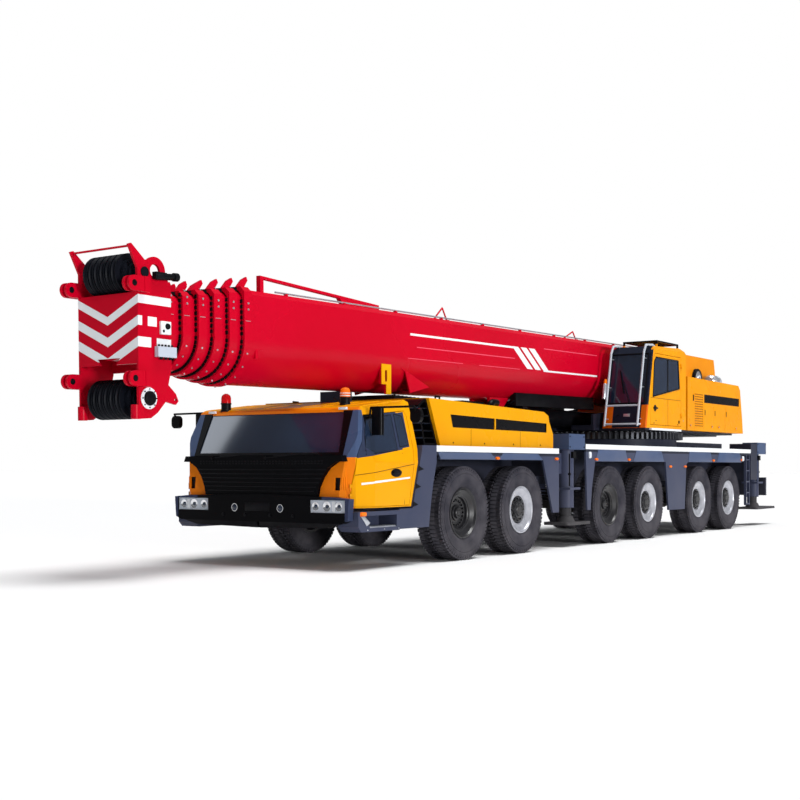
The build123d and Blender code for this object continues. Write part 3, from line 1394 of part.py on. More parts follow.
with BuildPart() as op_openings:
    add(op_front_prism(OP_FRONT_WINDOW, -2600, -1800, GLASS_GAP))
    add(op_front_prism(OP_REAR_WINDOW, -4000, -3700, GLASS_GAP))
with BuildPart() as operator_cab_glass:
    add(op_glass_outer)
    add(op_glass_inner, mode=Mode.SUBTRACT)
    add(op_openings.part, mode=Mode.INTERSECT)
save(operator_cab_glass, "operator_cab_glass")

with BuildPart() as op_door_pane:
    add(op_glass_outer)
    add(op_glass_inner, mode=Mode.SUBTRACT)
    add(side_prism(OP_DOOR_WINDOW, 1, GLASS_GAP), mode=Mode.INTERSECT)
with BuildPart() as operator_cab_door:
    add(op_outer)
    add(op_inner, mode=Mode.SUBTRACT)
    add(side_prism(OP_DOOR, 1, DOOR_GAP), mode=Mode.INTERSECT)
    add(side_prism(OP_DOOR_WINDOW, 1), mode=Mode.SUBTRACT)
    for z in OP_HINGE_HEIGHTS:
        add(hinge_half(OP_HINGE, 1, 0, z + HINGE_HALF + RUNNING_GAP, 1, 5))
    add(op_door_pane.part)
save(operator_cab_door, "operator_cab_door")

with BuildPart() as operator_cab_interior:
    with BuildSketch(Plane.XZ.offset(-1290)):
        with BuildLine():
            Polyline((-2850, 1935.6), (-3350, 1935.6), (-3390, 2320), (-3500, 2330), (-3560, 2900), (-3440, 2910),
                     (-3370, 2420), (-2830, 2400), close=True)
        make_face()
    extrude(amount=500)
    with BuildSketch(Plane.XZ.offset(-1350)):
        with BuildLine():
            Polyline((-2120, 1935.6), (-2320, 1935.6), (-2330, 2300), (-2190, 2300), close=True)
        make_face()
    extrude(amount=600)
save(operator_cab_interior, "operator_cab_interior")
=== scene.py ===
import json
from math import cos, pi, radians, sin

import bmesh
import bpy
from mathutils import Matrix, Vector

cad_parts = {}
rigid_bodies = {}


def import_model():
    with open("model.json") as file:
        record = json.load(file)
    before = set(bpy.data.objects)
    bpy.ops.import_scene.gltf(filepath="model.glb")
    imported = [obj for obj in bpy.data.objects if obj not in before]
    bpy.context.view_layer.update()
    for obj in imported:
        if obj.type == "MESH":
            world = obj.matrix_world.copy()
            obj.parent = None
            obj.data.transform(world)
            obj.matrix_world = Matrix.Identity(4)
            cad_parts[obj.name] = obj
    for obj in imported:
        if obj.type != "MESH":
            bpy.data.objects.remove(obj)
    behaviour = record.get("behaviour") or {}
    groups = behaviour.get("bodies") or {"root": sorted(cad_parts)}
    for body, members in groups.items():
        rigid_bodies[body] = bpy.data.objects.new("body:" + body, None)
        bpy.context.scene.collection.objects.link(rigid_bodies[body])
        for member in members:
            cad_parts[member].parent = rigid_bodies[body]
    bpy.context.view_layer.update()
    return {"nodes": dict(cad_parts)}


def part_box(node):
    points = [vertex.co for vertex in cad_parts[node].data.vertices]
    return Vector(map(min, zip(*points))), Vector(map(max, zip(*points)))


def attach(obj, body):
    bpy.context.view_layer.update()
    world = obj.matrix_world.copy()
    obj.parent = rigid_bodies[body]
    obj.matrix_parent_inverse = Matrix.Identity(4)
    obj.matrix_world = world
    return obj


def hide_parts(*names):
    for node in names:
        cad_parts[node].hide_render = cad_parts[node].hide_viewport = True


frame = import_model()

# --- Studio and camera ---
# A pale matt floor under an even white sky. A broad sun overhead throws a soft shadow under the crane, and
# a low one lights its flank. The camera stands low, ahead of the left front corner, as for the photograph.
CAMERA_PLACE = (17.838, 10.086, 1.233)
CAMERA_HEADING = 124.712
CAMERA_LENS = 55.96
CAMERA_RISE = 0.083
FLOOR_SIZE = 400
# Name, energy, tilt, heading and the width of the disc in degrees
SUNS = (("overhead_sun", 2.9, 16, 196, 34), ("side_sun", 2.0, 87, 166, 10))
SOFT_BOX_PLACE = (13.9, -11.4, 9.2)
SOFT_BOX_AIM = (radians(59.9), 0, radians(38.3))

bpy.ops.object.select_all(action="DESELECT")
bpy.ops.object.camera_add(location=CAMERA_PLACE, rotation=(radians(90), 0, radians(CAMERA_HEADING)))
camera = bpy.context.object
camera.data.lens = CAMERA_LENS
camera.data.sensor_width = 36
camera.data.shift_y = CAMERA_RISE
camera.data.clip_end = 500
bpy.context.scene.camera = camera

bpy.ops.mesh.primitive_plane_add(size=FLOOR_SIZE, location=(0, 0, -0.001))
studio_floor = bpy.context.object
studio_floor.name = "studio_floor"
floor_finish = bpy.data.materials.new("studio_floor")
floor_finish.use_nodes = True
floor_shader = floor_finish.node_tree.nodes["Principled BSDF"]
floor_shader.inputs["Base Color"].default_value = (0.9, 0.9, 0.9, 1)
floor_shader.inputs["Roughness"].default_value = 0.9
floor_shader.inputs["Specular IOR Level"].default_value = 0
studio_floor.data.materials.append(floor_finish)

for name, energy, tilt, heading, softness in SUNS:
    bpy.ops.object.light_add(type="SUN", rotation=(radians(tilt), 0, radians(heading)))
    sun = bpy.context.object
    sun.name = name
    sun.data.energy = energy
    sun.data.angle = radians(softness)

# A small soft box, high on the far side, that shows in the windscreen
bpy.ops.object.light_add(type="AREA", location=SOFT_BOX_PLACE, rotation=SOFT_BOX_AIM)
window_light = bpy.context.object
window_light.data.shape = "RECTANGLE"
window_light.data.size = 1.2
window_light.data.size_y = 2.6
window_light.data.energy = 48
window_light.data.color = (0.86, 0.92, 1)

sky = bpy.data.worlds.new("studio_sky")
bpy.context.scene.world = sky
sky.use_nodes = True
sky_tree = sky.node_tree
sky_tree.nodes["Background"].inputs["Color"].default_value = (0.93, 0.96, 1, 1)
sky_tree.nodes["Background"].inputs["Strength"].default_value = 0.22
backdrop = sky_tree.nodes.new("ShaderNodeBackground")
backdrop.inputs["Color"].default_value = (1, 1, 1, 1)
sky_path = sky_tree.nodes.new("ShaderNodeLightPath")
sky_mix = sky_tree.nodes.new("ShaderNodeMixShader")
sky_tree.links.new(sky_path.outputs["Is Camera Ray"], sky_mix.inputs["Fac"])
sky_tree.links.new(sky_tree.nodes["Background"].outputs[0], sky_mix.inputs[1])
sky_tree.links.new(backdrop.outputs[0], sky_mix.inputs[2])
sky_tree.links.new(sky_mix.outputs[0], sky_tree.nodes["World Output"].inputs["Surface"])
bpy.context.scene.view_settings.view_transform = "Standard"


# --- Wheels ---
# Twelve earthmover tyres on steel rims: black rubber with block lugs and ribbed side walls. The driven
# axles have silver rims round a black planetary hub, the others dished black ones with a ring of nuts.
def lay_node(tree, kind, inputs=None, **settings):
    """A shader node with its settings; an input is a value or the socket that feeds it."""
    made = tree.nodes.new(kind)
    for key, value in settings.items():
        setattr(made, key, value)
    for key, value in (inputs or {}).items():
        if isinstance(value, bpy.types.NodeSocket):
            tree.links.new(value, made.inputs[key])
        else:
            made.inputs[key].default_value = value
    return made


def calculate(tree, operation, first, second=0.0, third=0.0, clamp=False):
    """The output of a math node."""
    return lay_node(tree, "ShaderNodeMath", {0: first, 1: second, 2: third}, operation=operation,
                    use_clamp=clamp).outputs[0]


def blend_colours(tree, factor, under, over):
    return lay_node(tree, "ShaderNodeMix", {0: factor, 6: under, 7: over}, data_type="RGBA").outputs[2]


def open_group(name, inputs, outputs):
    """A node group with named sockets, and what it is given and has to return."""
    group = bpy.data.node_groups.new(name, "ShaderNodeTree")
    for socket_name, kind in inputs:
        group.interface.new_socket(socket_name, in_out="INPUT", socket_type=kind)
    for socket_name, kind in outputs:
        group.interface.new_socket(socket_name, in_out="OUTPUT", socket_type=kind)
    return group, group.nodes.new("NodeGroupInput").outputs, group.nodes.new("NodeGroupOutput").inputs


# Weathered skin: two tones in soft clouds, road dust that thickens towards the ground, fine grain
weathered_skin, given, result = open_group(
    "weathered_skin",
    [("Colour", "NodeSocketColor"), ("Second Colour", "NodeSocketColor"), ("Cloud Scale", "NodeSocketFloat"),
     ("Grain Scale", "NodeSocketFloat"), ("Dust", "NodeSocketFloat"), ("Roughness", "NodeSocketFloat"),
     ("Roughness Spread", "NodeSocketFloat")],
    [("Colour", "NodeSocketColor"), ("Roughness", "NodeSocketFloat"), ("Height", "NodeSocketFloat")],
)
skin_place = weathered_skin.nodes.new("ShaderNodeTexCoord").outputs["Object"]
clouds = lay_node(weathered_skin, "ShaderNodeTexNoise",
                  {"Vector": skin_place, "Scale": given["Cloud Scale"], "Detail": 5.0}).outputs[0]
speckle = lay_node(weathered_skin, "ShaderNodeTexNoise",
                   {"Vector": skin_place, "Scale": given["Grain Scale"], "Detail": 2.0}).outputs[0]
film = lay_node(weathered_skin, "ShaderNodeTexNoise", {"Vector": skin_place, "Scale": 2.2, "Detail": 8.0}).outputs[0]
skin_height = lay_node(weathered_skin, "ShaderNodeSeparateXYZ", {0: skin_place}).outputs[2]
low_down = lay_node(weathered_skin, "ShaderNodeMapRange",
                    {0: skin_height, 1: 0.0, 2: 1.5, 3: 1.0, 4: 0.12}).outputs[0]
dust_film = calculate(weathered_skin, "MULTIPLY", calculate(weathered_skin, "MULTIPLY", film, low_down),
                      given["Dust"], clamp=True)
cloud_edge = lay_node(weathered_skin, "ShaderNodeMapRange", {0: clouds, 1: 0.35, 2: 0.65}).outputs[0]
tone = blend_colours(weathered_skin, cloud_edge, given["Colour"], given["Second Colour"])
weathered_skin.links.new(blend_colours(weathered_skin, dust_film, tone, (0.34, 0.31, 0.28, 1)), result["Colour"])
uneven = calculate(weathered_skin, "MULTIPLY_ADD", calculate(weathered_skin, "SUBTRACT", clouds, 0.5),
                   given["Roughness Spread"], given["Roughness"])
weathered_skin.links.new(calculate(weathered_skin, "MULTIPLY_ADD", dust_film, 0.5, uneven, clamp=True),
                         result["Roughness"])
weathered_skin.links.new(speckle, result["Height"])

# Painted patch: the places, same on both sides, between two corners after the lean is taken off
painted_patch, given, result = open_group(
    "painted_patch",
    [("Low", "NodeSocketVector"), ("High", "NodeSocketVector"), ("Lean", "NodeSocketVector")],
    [("Mask", "NodeSocketFloat")],
)
patch_place = lay_node(painted_patch, "ShaderNodeSeparateXYZ",
                       {0: painted_patch.nodes.new("ShaderNodeTexCoord").outputs["Object"]}).outputs
lean = lay_node(painted_patch, "ShaderNodeSeparateXYZ", {0: given["Lean"]}).outputs
aside = calculate(painted_patch, "ABSOLUTE", patch_place[1])
upward = calculate(painted_patch, "MULTIPLY_ADD", patch_place[0], lean[1],
                   calculate(painted_patch, "MULTIPLY_ADD", aside, lean[2], patch_place[2]))
onward = calculate(painted_patch, "MULTIPLY_ADD", upward, lean[0], patch_place[0])
straight = lay_node(painted_patch, "ShaderNodeCombineXYZ", {0: onward, 1: aside, 2: upward}).outputs[0]
over_low = lay_node(painted_patch, "ShaderNodeVectorMath", {0: straight, 1: given["Low"]},
                    operation="SUBTRACT").outputs[0]
under_high = lay_node(painted_patch, "ShaderNodeVectorMath", {0: given["High"], 1: straight},
                      operation="SUBTRACT").outputs[0]
nearest = lay_node(painted_patch, "ShaderNodeSeparateXYZ",
                   {0: lay_node(painted_patch, "ShaderNodeVectorMath", {0: over_low, 1: under_high},
                                operation="MINIMUM").outputs[0]}).outputs
least = calculate(painted_patch, "MINIMUM", calculate(painted_patch, "MINIMUM", nearest[0], nearest[1]), nearest[2])
painted_patch.links.new(calculate(painted_patch, "GREATER_THAN", least, 0.0), result["Mask"])


def skin_finish(name, colour, second, roughness, spread=0.1, cloud=0.8, grain=60, dust=0.25, bump=0.0004,
                patches=(), **shader_values):
    """A paint, metal or rubber of two tones. Patches are (colour, lean, boxes): another paint over the boxes."""
    finish = bpy.data.materials.new(name)
    finish.use_nodes = True
    tree = finish.node_tree
    shader = tree.nodes["Principled BSDF"]
    first_tone, second_tone = (*colour, 1), (*second, 1)
    for patch_colour, patch_lean, boxes in patches:
        covered = None
        for low, high in boxes:
            group = tree.nodes.new("ShaderNodeGroup")
            group.node_tree = painted_patch
            group.inputs["Low"].default_value = low
            group.inputs["High"].default_value = high
            group.inputs["Lean"].default_value = patch_lean
            mask = group.outputs["Mask"]
            covered = mask if covered is None else calculate(tree, "MAXIMUM", covered, mask)
        first_tone = blend_colours(tree, covered, first_tone, (*patch_colour, 1))
        second_tone = blend_colours(tree, covered, second_tone, (*(0.93 * part for part in patch_colour), 1))
    surface = tree.nodes.new("ShaderNodeGroup")
    surface.node_tree = weathered_skin
    for socket, value in (("Colour", first_tone), ("Second Colour", second_tone)):
        if isinstance(value, bpy.types.NodeSocket):
            tree.links.new(value, surface.inputs[socket])
        else:
            surface.inputs[socket].default_value = value
    for socket, value in (("Cloud Scale", cloud), ("Grain Scale", grain), ("Dust", dust), ("Roughness", roughness),
                          ("Roughness Spread", spread)):
        surface.inputs[socket].default_value = value
    tree.links.new(surface.outputs["Colour"], shader.inputs["Base Color"])
    tree.links.new(surface.outputs["Roughness"], shader.inputs["Roughness"])
    relief = lay_node(tree, "ShaderNodeBump",
                      {"Distance": bump, "Strength": 0.6, "Height": surface.outputs["Height"]})
    tree.links.new(relief.outputs[0], shader.inputs["Normal"])
    for socket, value in {"Specular_IOR_Level": 0.08, **shader_values}.items():
        shader.inputs[socket.replace("_", " ")].default_value = value
    return finish


def open_piece(name):
    """A new piece in edit mode, empty, with nothing else selected."""
    bpy.ops.object.select_all(action="DESELECT")
    bpy.ops.mesh.primitive_cube_add(size=1)
    piece = bpy.context.object
    piece.name = piece.data.name = name
    bpy.ops.object.mode_set(mode="EDIT")
    bpy.ops.mesh.delete(type="VERT")
    return piece


def close_piece(piece, body, slot, finish, *replaced, rounding=0.0, smooth=35):
    """Round its edges, give it its finish and let it ride on its body."""
    if bpy.context.mode == "EDIT_MESH":
        bpy.ops.object.mode_set(mode="OBJECT")
    if rounding:
        bpy.ops.object.modifier_add(type="BEVEL")
        bevel = piece.modifiers[-1]
        bevel.width = rounding
        bevel.segments = 2
        bevel.limit_method = "ANGLE"
        bevel.angle_limit = radians(38)
        bpy.ops.object.modifier_apply(modifier=bevel.name)
    bpy.ops.object.shade_smooth_by_angle(angle=radians(smooth))
    piece.data.materials.clear()
    piece.data.materials.append(finish)
    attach(piece, body)
    if replaced:
        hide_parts(*replaced)


def add_block(low, high, turn=(0, 0, 0)):
    """A block between two opposite corners, turned about its middle."""
    middle = [(a + b) / 2 for a, b in zip(low, high)]
    bpy.ops.mesh.primitive_cube_add(size=1, location=middle, rotation=turn,
                                    scale=[abs(b - a) for a, b in zip(low, high)])
    bpy.ops.mesh.select_all(action="DESELECT")


def add_rod(start, end, radius, sides=16, far_radius=None):
    """A round or six-sided rod from start to end, tapered if its far radius is given."""
    run = Vector(end) - Vector(start)
    far_radius = radius if far_radius is None else far_radius
    bpy.ops.mesh.primitive_cone_add(vertices=sides, radius1=radius, radius2=far_radius, depth=run.length,
                                    location=(Vector(start) + Vector(end)) / 2,
                                    rotation=run.to_track_quat("Z", "Y").to_euler())
    bpy.ops.mesh.select_all(action="DESELECT")


def add_turned(profile, centre, axis, steps=48):
    """A closed profile of (along, radius) points, turned about the axis through the centre."""
    along = Vector(axis).normalized()
    outward = along.orthogonal().normalized()
    bpy.ops.mesh.primitive_circle_add(vertices=len(profile), fill_type="NOTHING")
    edit = bmesh.from_edit_mesh(bpy.context.object.data)
    ring = [vertex for vertex in edit.verts if vertex.select]
    for vertex, (distance, radius) in zip(ring, profile):
        vertex.co = Vector(centre) + along * distance + outward * radius
    bmesh.update_edit_mesh(bpy.context.object.data)
    bpy.ops.mesh.spin(steps=steps, angle=2 * pi, center=centre, axis=along)
    bpy.ops.mesh.select_linked()
    bpy.ops.mesh.remove_doubles(threshold=0.00001)
    bpy.ops.mesh.normals_make_consistent(inside=False)
    bpy.ops.mesh.select_all(action="DESELECT")


def add_plate(corners, push):
    """A flat plate with those corners, pushed out to its thickness."""
    bpy.ops.mesh.primitive_circle_add(vertices=len(corners), fill_type="NGON")
    edit = bmesh.from_edit_mesh(bpy.context.object.data)
    ring = [vertex for vertex in edit.verts if vertex.select]
    for vertex, corner in zip(ring, corners):
        vertex.co = corner
    bmesh.update_edit_mesh(bpy.context.object.data)
    bpy.ops.mesh.extrude_region_move(TRANSFORM_OT_translate={"value": push})
    bpy.ops.mesh.select_linked()
    bpy.ops.mesh.normals_make_consistent(inside=False)
    bpy.ops.mesh.select_all(action="DESELECT")


def around(count, radius, first=0.0):
    """The places on a circle of that many spots, as (sine, cosine), the first one that part of a step on."""
    angles = [2 * pi * (number + first) / count for number in range(count)]
    return [(radius * sin(angle), radius * cos(angle)) for angle in angles]


FORWARD, LEFTWARD, UPWARD = (1, 0, 0), (0, 1, 0), (0, 0, 1)
SIDES = (("left", 1), ("right", -1))
AXLES = {1: 3.9, 2: 2.35, 3: -0.55, 4: -2.1, 5: -4.42, 6: -5.97}
DRIVEN = (2, 4, 5, 6)
WHEEL_Y = 1.285
TYRE_RADIUS = 0.62
LUGS = 68
LUG_SKEW = 0.25
SHOULDER_RADIUS = 0.577
# Rows of lugs: distance from the middle, width, length and radius
LUG_ROWS = [(-0.146, 0.064, 0.040, 0.604), (-0.048, 0.078, 0.038, 0.606), (0.048, 0.078, 0.038, 0.606),
            (0.146, 0.064, 0.040, 0.604)]
# Tyre section from the crown out to the bead, as (distance from the middle, radius)
TYRE_SIDE = [(0.0, 0.606), (0.09, 0.604), (0.155, 0.598), (0.178, 0.584), (0.187, 0.556), (0.1905, 0.533),
             (0.1885, 0.529), (0.189, 0.519), (0.193, 0.514), (0.195, 0.47), (0.1915, 0.436), (0.187, 0.405),
             (0.1835, 0.402), (0.181, 0.385), (0.172, 0.363), (0.157, 0.346), (0.1495, 0.3205)]
tyre_loop = TYRE_SIDE + [(-distance, radius) for distance, radius in TYRE_SIDE[:0:-1]]
rubber = skin_finish("tyre_rubber", (0.022, 0.022, 0.032), (0.050, 0.048, 0.060), 0.8, spread=0.1, cloud=5,
                     grain=260, dust=0.12, bump=0.0006)
tyre_model = open_piece("tyre_model")
add_turned(tyre_loop, (0, 0, 0), LEFTWARD, steps=72)
for number in range(LUGS):
    for row, (across, width, length, radius) in enumerate(LUG_ROWS):
        odd = row % 2
        angle = 2 * pi * (number + 0.5 * odd) / LUGS
        bpy.ops.mesh.primitive_cube_add(size=1, location=(radius * sin(angle), across, radius * cos(angle)),
                                        rotation=(0, angle, LUG_SKEW * (1 - 2 * odd)),
                                        scale=(length, width, 0.024))
    for across, shift in ((0.1815, 0.5), (-0.1815, 0)):
        angle = 2 * pi * (number + shift) / LUGS
        bpy.ops.mesh.primitive_cube_add(
            size=1, location=(SHOULDER_RADIUS * sin(angle), across, SHOULDER_RADIUS * cos(angle)),
            rotation=(0, angle, 0), scale=(0.030, 0.014, 0.034))
bpy.ops.object.mode_set(mode="OBJECT")
bpy.ops.object.shade_smooth_by_angle(angle=radians(35))

silver = skin_finish("rim_silver", (0.56, 0.57, 0.62), (0.44, 0.45, 0.50), 0.3, spread=0.12, cloud=7, grain=300,
                     dust=0.1, Metallic=0.55)
hub_black = skin_finish("hub_black", (0.006, 0.006, 0.008), (0.012, 0.012, 0.015), 0.3, cloud=9, grain=200,
                        dust=0.03, Specular_IOR_Level=0.5)
# Rims and hubs are (distance from the wheel's middle, radius), from one side through the other
RIM = [(0.150, 0.3198), (0.150, 0.334), (0.166, 0.334), (0.167, 0.318), (0.152, 0.303), (0.136, 0.294),
       (0.124, 0.276), (0.120, 0.216), (0.110, 0.200), (0.060, 0.196), (0.060, 0.206), (0.094, 0.212),
       (0.104, 0.270), (0.092, 0.292), (-0.166, 0.300), (-0.166, 0.334), (-0.150, 0.334), (-0.150, 0.3198)]
DRIVEN_HUB = [(0.0, 0.0), (0.150, 0.0), (0.150, 0.085), (0.144, 0.094), (0.128, 0.100), (0.126, 0.124), (0.104, 0.130),
              (0.098, 0.178), (0.070, 0.1955), (0.0, 0.1955)]
PLAIN_RIM = [(0.150, 0.3198), (0.150, 0.334), (0.166, 0.334), (0.167, 0.320), (0.150, 0.306), (0.132, 0.298),
             (0.110, 0.270), (0.104, 0.225), (0.086, 0.212), (0.050, 0.205), (0.040, 0.185), (0.040, 0.12),
             (0.030, 0.12), (0.030, 0.200), (0.072, 0.224), (0.094, 0.275), (0.092, 0.292), (-0.166, 0.300),
             (-0.166, 0.334), (-0.150, 0.334), (-0.150, 0.3198)]
PLAIN_HUB = [(0.0, 0.0), (0.095, 0.0), (0.095, 0.058), (0.088, 0.070), (0.060, 0.078), (0.056, 0.100), (0.038, 0.106),
             (0.036, 0.130), (0.0, 0.130)]


def wheel_model(name, profile, nut_rings):
    """A turned rim or hub with its rings of nuts."""
    model = open_piece(name)
    add_turned(profile, (0, 0, 0), LEFTWARD, steps=56)
    for count, ring, foot, size, proud in nut_rings:
        for onward, up in around(count, ring):
            add_rod((onward, foot, up), (onward, foot + proud, up), size, sides=6)
    bpy.ops.object.mode_set(mode="OBJECT")
    bpy.ops.object.shade_smooth_by_angle(angle=radians(30))
    return model


# Nuts: how many, radius of their ring, where they stand, size and height
driven_rim = wheel_model("driven_rim_model", RIM, [(20, 0.245, 0.116, 0.009, 0.012)])
driven_hub = wheel_model("driven_hub_model", DRIVEN_HUB,
                         [(12, 0.154, 0.096, 0.013, 0.026), (8, 0.062, 0.146, 0.008, 0.012)])
plain_rim = wheel_model("plain_rim_model", PLAIN_RIM, [(20, 0.165, 0.036, 0.014, 0.030)])
plain_hub = wheel_model("plain_hub_model", PLAIN_HUB, [(8, 0.040, 0.090, 0.008, 0.012)])


def place_copy(model, name, place, turn, body, finish):
    """A copy of the model at one wheel, which stands for that wheel's node together with its fellows."""
    bpy.ops.object.select_all(action="DESELECT")
    model.select_set(True)
    bpy.context.view_layer.objects.active = model
    bpy.ops.object.duplicate()
    copy = bpy.context.object
    copy.name = copy.data.name = name
    copy.location = place
    copy.rotation_euler = turn
    bpy.ops.object.transform_apply(location=True, rotation=True, scale=True)
    copy.data.materials.clear()
    copy.data.materials.append(finish)
    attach(copy, body)
    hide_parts(body)


for number, axle in AXLES.items():
    for side_name, side in SIDES:
        wheel = f"wheel_{number}_{side_name}"
        place, turn = (axle, side * WHEEL_Y, TYRE_RADIUS), (0, 0, 0 if side > 0 else pi)
        rim, hub, paint = (driven_rim, driven_hub, silver) if number in DRIVEN else (plain_rim, plain_hub, hub_black)
        place_copy(tyre_model, f"tyre_{number}_{side_name}", place, turn, wheel, rubber)
        place_copy(rim, f"rim_{number}_{side_name}", place, turn, wheel, paint)
        place_copy(hub, f"hub_{number}_{side_name}", place, turn, wheel, hub_black)
for model in (tyre_model, driven_rim, driven_hub, plain_rim, plain_hub):
    bpy.data.objects.remove(model)


# --- Axles and knuckles ---
# Cast beams under the frame and the forged knuckles that carry the steered wheels. They are painted
# black, greasy at the joints and dusty from the road.
def dress(finish, *nodes):
    """Give CAD nodes a better finish, in each of their material slots."""
    for name in nodes:
        for place in frame["nodes"][name].material_slots:
            place.material = finish


axle_black = skin_finish("axle_black", (0.010, 0.011, 0.014), (0.022, 0.022, 0.026), 0.6, cloud=4, grain=120,
                         dust=0.4, bump=0.001)
dress(axle_black, "axle_beams", *(name for name in frame["nodes"] if name.startswith("knuckle")))


# --- Carrier frame and decks ---
# Welded steel box frame in black-blue paint, with the tail's lamps and towing jaws bolted to it. The decks
# are dark non-slip plate with a white strip painted along each edge.
def mirrored(place):
    """The place, or each place of a list, on the other side; other values stay."""
    if isinstance(place, list):
        return [mirrored(corner) for corner in place]
    return (place[0], -place[1], place[2]) if isinstance(place, tuple) and len(place) == 3 else place


def add_pair(add, *places, **settings):
    """Add a block, rod, plate or turned form on the left side, and its mirror image on the right."""
    add(*places, **settings)
    add(*(mirrored(place) for place in places), **settings)


def add_side_plates(outline, face, thickness):
    """Two like plates with that outline of (x, z) corners, on the left and the right face."""
    add_pair(add_plate, [(x, face, z) for x, z in outline], (0, thickness, 0))


UPRIGHT = (0, 0, 0)
DECK_EDGE = 1.4495
FRONT_DECK_TOP = 1.5
REAR_DECK_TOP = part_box("decks")[1][2]
STRIP = 0.078
BLUE_GREY = (0.034, 0.044, 0.088)
# Paler blue-grey: a painted reflection of the sky on the pressings, the outriggers' band and the cab's pillars
BLUE_GREY_SHEEN = (0.055, 0.085, 0.170)
WHITE = (0.80, 0.83, 0.86)
frame_paint = skin_finish("frame_paint", (0.016, 0.019, 0.036), (0.026, 0.030, 0.052), 0.42, dust=0.2)
deck_paint = skin_finish(
    "deck_paint", (0.014, 0.017, 0.030), (0.022, 0.026, 0.042), 0.5, grain=90, dust=0.15, bump=0.002,
    patches=[(WHITE, UPRIGHT, [((1.1, DECK_EDGE, FRONT_DECK_TOP - STRIP), (4.6, 1.46, FRONT_DECK_TOP + 0.01)),
                               ((-7.4, DECK_EDGE, REAR_DECK_TOP - STRIP), (0.31, 1.46, REAR_DECK_TOP + 0.01))])])
dress(frame_paint, "chassis_frame")
dress(deck_paint, "decks")

# Tail: a lamp bar across the rear frame with red, orange and clear lenses, and the towing jaws below it
TAIL = -8.262
TAIL_LAMP_Y = 0.62
TAIL_LENS_Y = 0.49
lamp_red = skin_finish("lamp_red", (0.62, 0.010, 0.012), (0.50, 0.006, 0.010), 0.2, dust=0.05)
lamp_orange = skin_finish("lamp_orange", (0.90, 0.19, 0.010), (0.80, 0.14, 0.008), 0.2, dust=0.05)
lamp_clear = skin_finish("lamp_clear", (0.76, 0.79, 0.84), (0.66, 0.70, 0.76), 0.12, dust=0.03)
black_part = skin_finish("black_part", (0.003, 0.003, 0.004), (0.006, 0.006, 0.008), 0.42, cloud=6, dust=0.0)
piece = open_piece("tail_lamp_bar")
add_pair(add_block, (TAIL, TAIL_LAMP_Y - 0.21, 1.02), (TAIL + 0.027, TAIL_LAMP_Y + 0.21, 1.16))
add_pair(add_block, (TAIL - 0.023, TAIL_LAMP_Y - 0.20, 1.03), (TAIL + 0.004, TAIL_LAMP_Y + 0.20, 1.15))
add_side_plates([(TAIL, 0.98), (TAIL, 1.12), (-8.34, 1.10), (-8.36, 1.05), (-8.34, 1.0)], 0.12, 0.03)
close_piece(piece, "root", "carrier_blue", black_part, rounding=0.004)
for name, shift, finish in (("red", 0.0, lamp_red), ("orange", 0.13, lamp_orange), ("clear", 0.26, lamp_clear)):
    piece = open_piece(f"tail_lens_{name}")
    middle = TAIL_LENS_Y + shift
    add_pair(add_block, (-8.297, middle - 0.055, 1.045), (-8.280, middle + 0.055, 1.135))
    for number in range(4):
        low = 1.053 + 0.021 * number
        add_pair(add_block, (-8.300, middle - 0.050, low), (-8.290, middle + 0.050, low + 0.010))
    close_piece(piece, "root", "lamp_lens", finish, rounding=0.004)

# Hoses and pipes in the gap between the front deck and the first outrigger, clipped to a cross plate
piece = open_piece("gap_hoses")
for number, (x, radius) in enumerate(((0.95, 0.020), (1.01, 0.014), (1.07, 0.020), (1.13, 0.012))):
    y = 1.24 + 0.05 * (number % 2)
    foot = 0.72 + 0.05 * number
    add_pair(add_rod, (x, y, foot), (x, y, 1.42), radius)
    add_pair(add_rod, (x, y, 1.42), (x + 0.02, y - 0.5, 1.46), radius)
    add_pair(add_rod, (x, y, foot), (x - 0.02, y - 0.72, foot + 0.06), radius)
for z in (0.86, 1.28):
    add_pair(add_block, (0.91, 1.225, z), (1.17, 1.315, z + 0.04))
close_piece(piece, "root", "carrier_blue", black_part)

# --- Side panels ---
# Folded steel skirts in blue-grey gloss, bolted to the frame. Over the wheels their bands carry pressings with slanted
# ends, painted a paler blue-grey as a painted sky reflection, and below the cab they hold the steps.
SKIRT_FACE = 1.449
panel_paint = skin_finish("panel_paint", BLUE_GREY, (0.050, 0.058, 0.102), 0.3, dust=0.15)
dress(panel_paint, "side_panels")
pressing_sheen_paint = skin_finish("panel_sheen_paint", BLUE_GREY_SHEEN, (0.090, 0.112, 0.185), 0.34, dust=0.12)
# Columns: rear and front end at the top, rear and front end at the bottom, top height, bottom height
PRESSINGS = [(3.20, 4.52, 3.06, 4.46, 1.415, 1.326), (1.86, 2.86, 1.71, 3.00, 1.415, 1.326),
             (-1.16, -0.14, -1.26, -0.04, 1.498, 1.314), (-2.66, -1.60, -2.78, -1.48, 1.498, 1.314),
             (-5.02, -3.96, -5.12, -3.90, 1.498, 1.314), (-6.62, -5.48, -6.72, -5.36, 1.498, 1.314)]
piece = open_piece("panel_pressings")
for rear_top, front_top, rear_low, front_low, top, low in PRESSINGS:
    add_side_plates([(rear_top, top), (front_top, top), (front_low, low), (rear_low, low)], SKIRT_FACE, 0.008)
close_piece(piece, "root", "carrier_blue", pressing_sheen_paint, rounding=0.004)

# Shallow folded dents down the front edge of the wing, drawn as thin black triangles: painted shadow inside the dents
piece = open_piece("wing_dent_shadows")
for x, z in ((4.957, 1.21), (5.020, 0.99), (5.084, 0.77)):
    add_side_plates([(x - 0.004, z + 0.030), (x - 0.110, z - 0.012), (x + 0.008, z - 0.036)], 1.4495, 0.004)
close_piece(piece, "root", "carrier_blue", black_part)

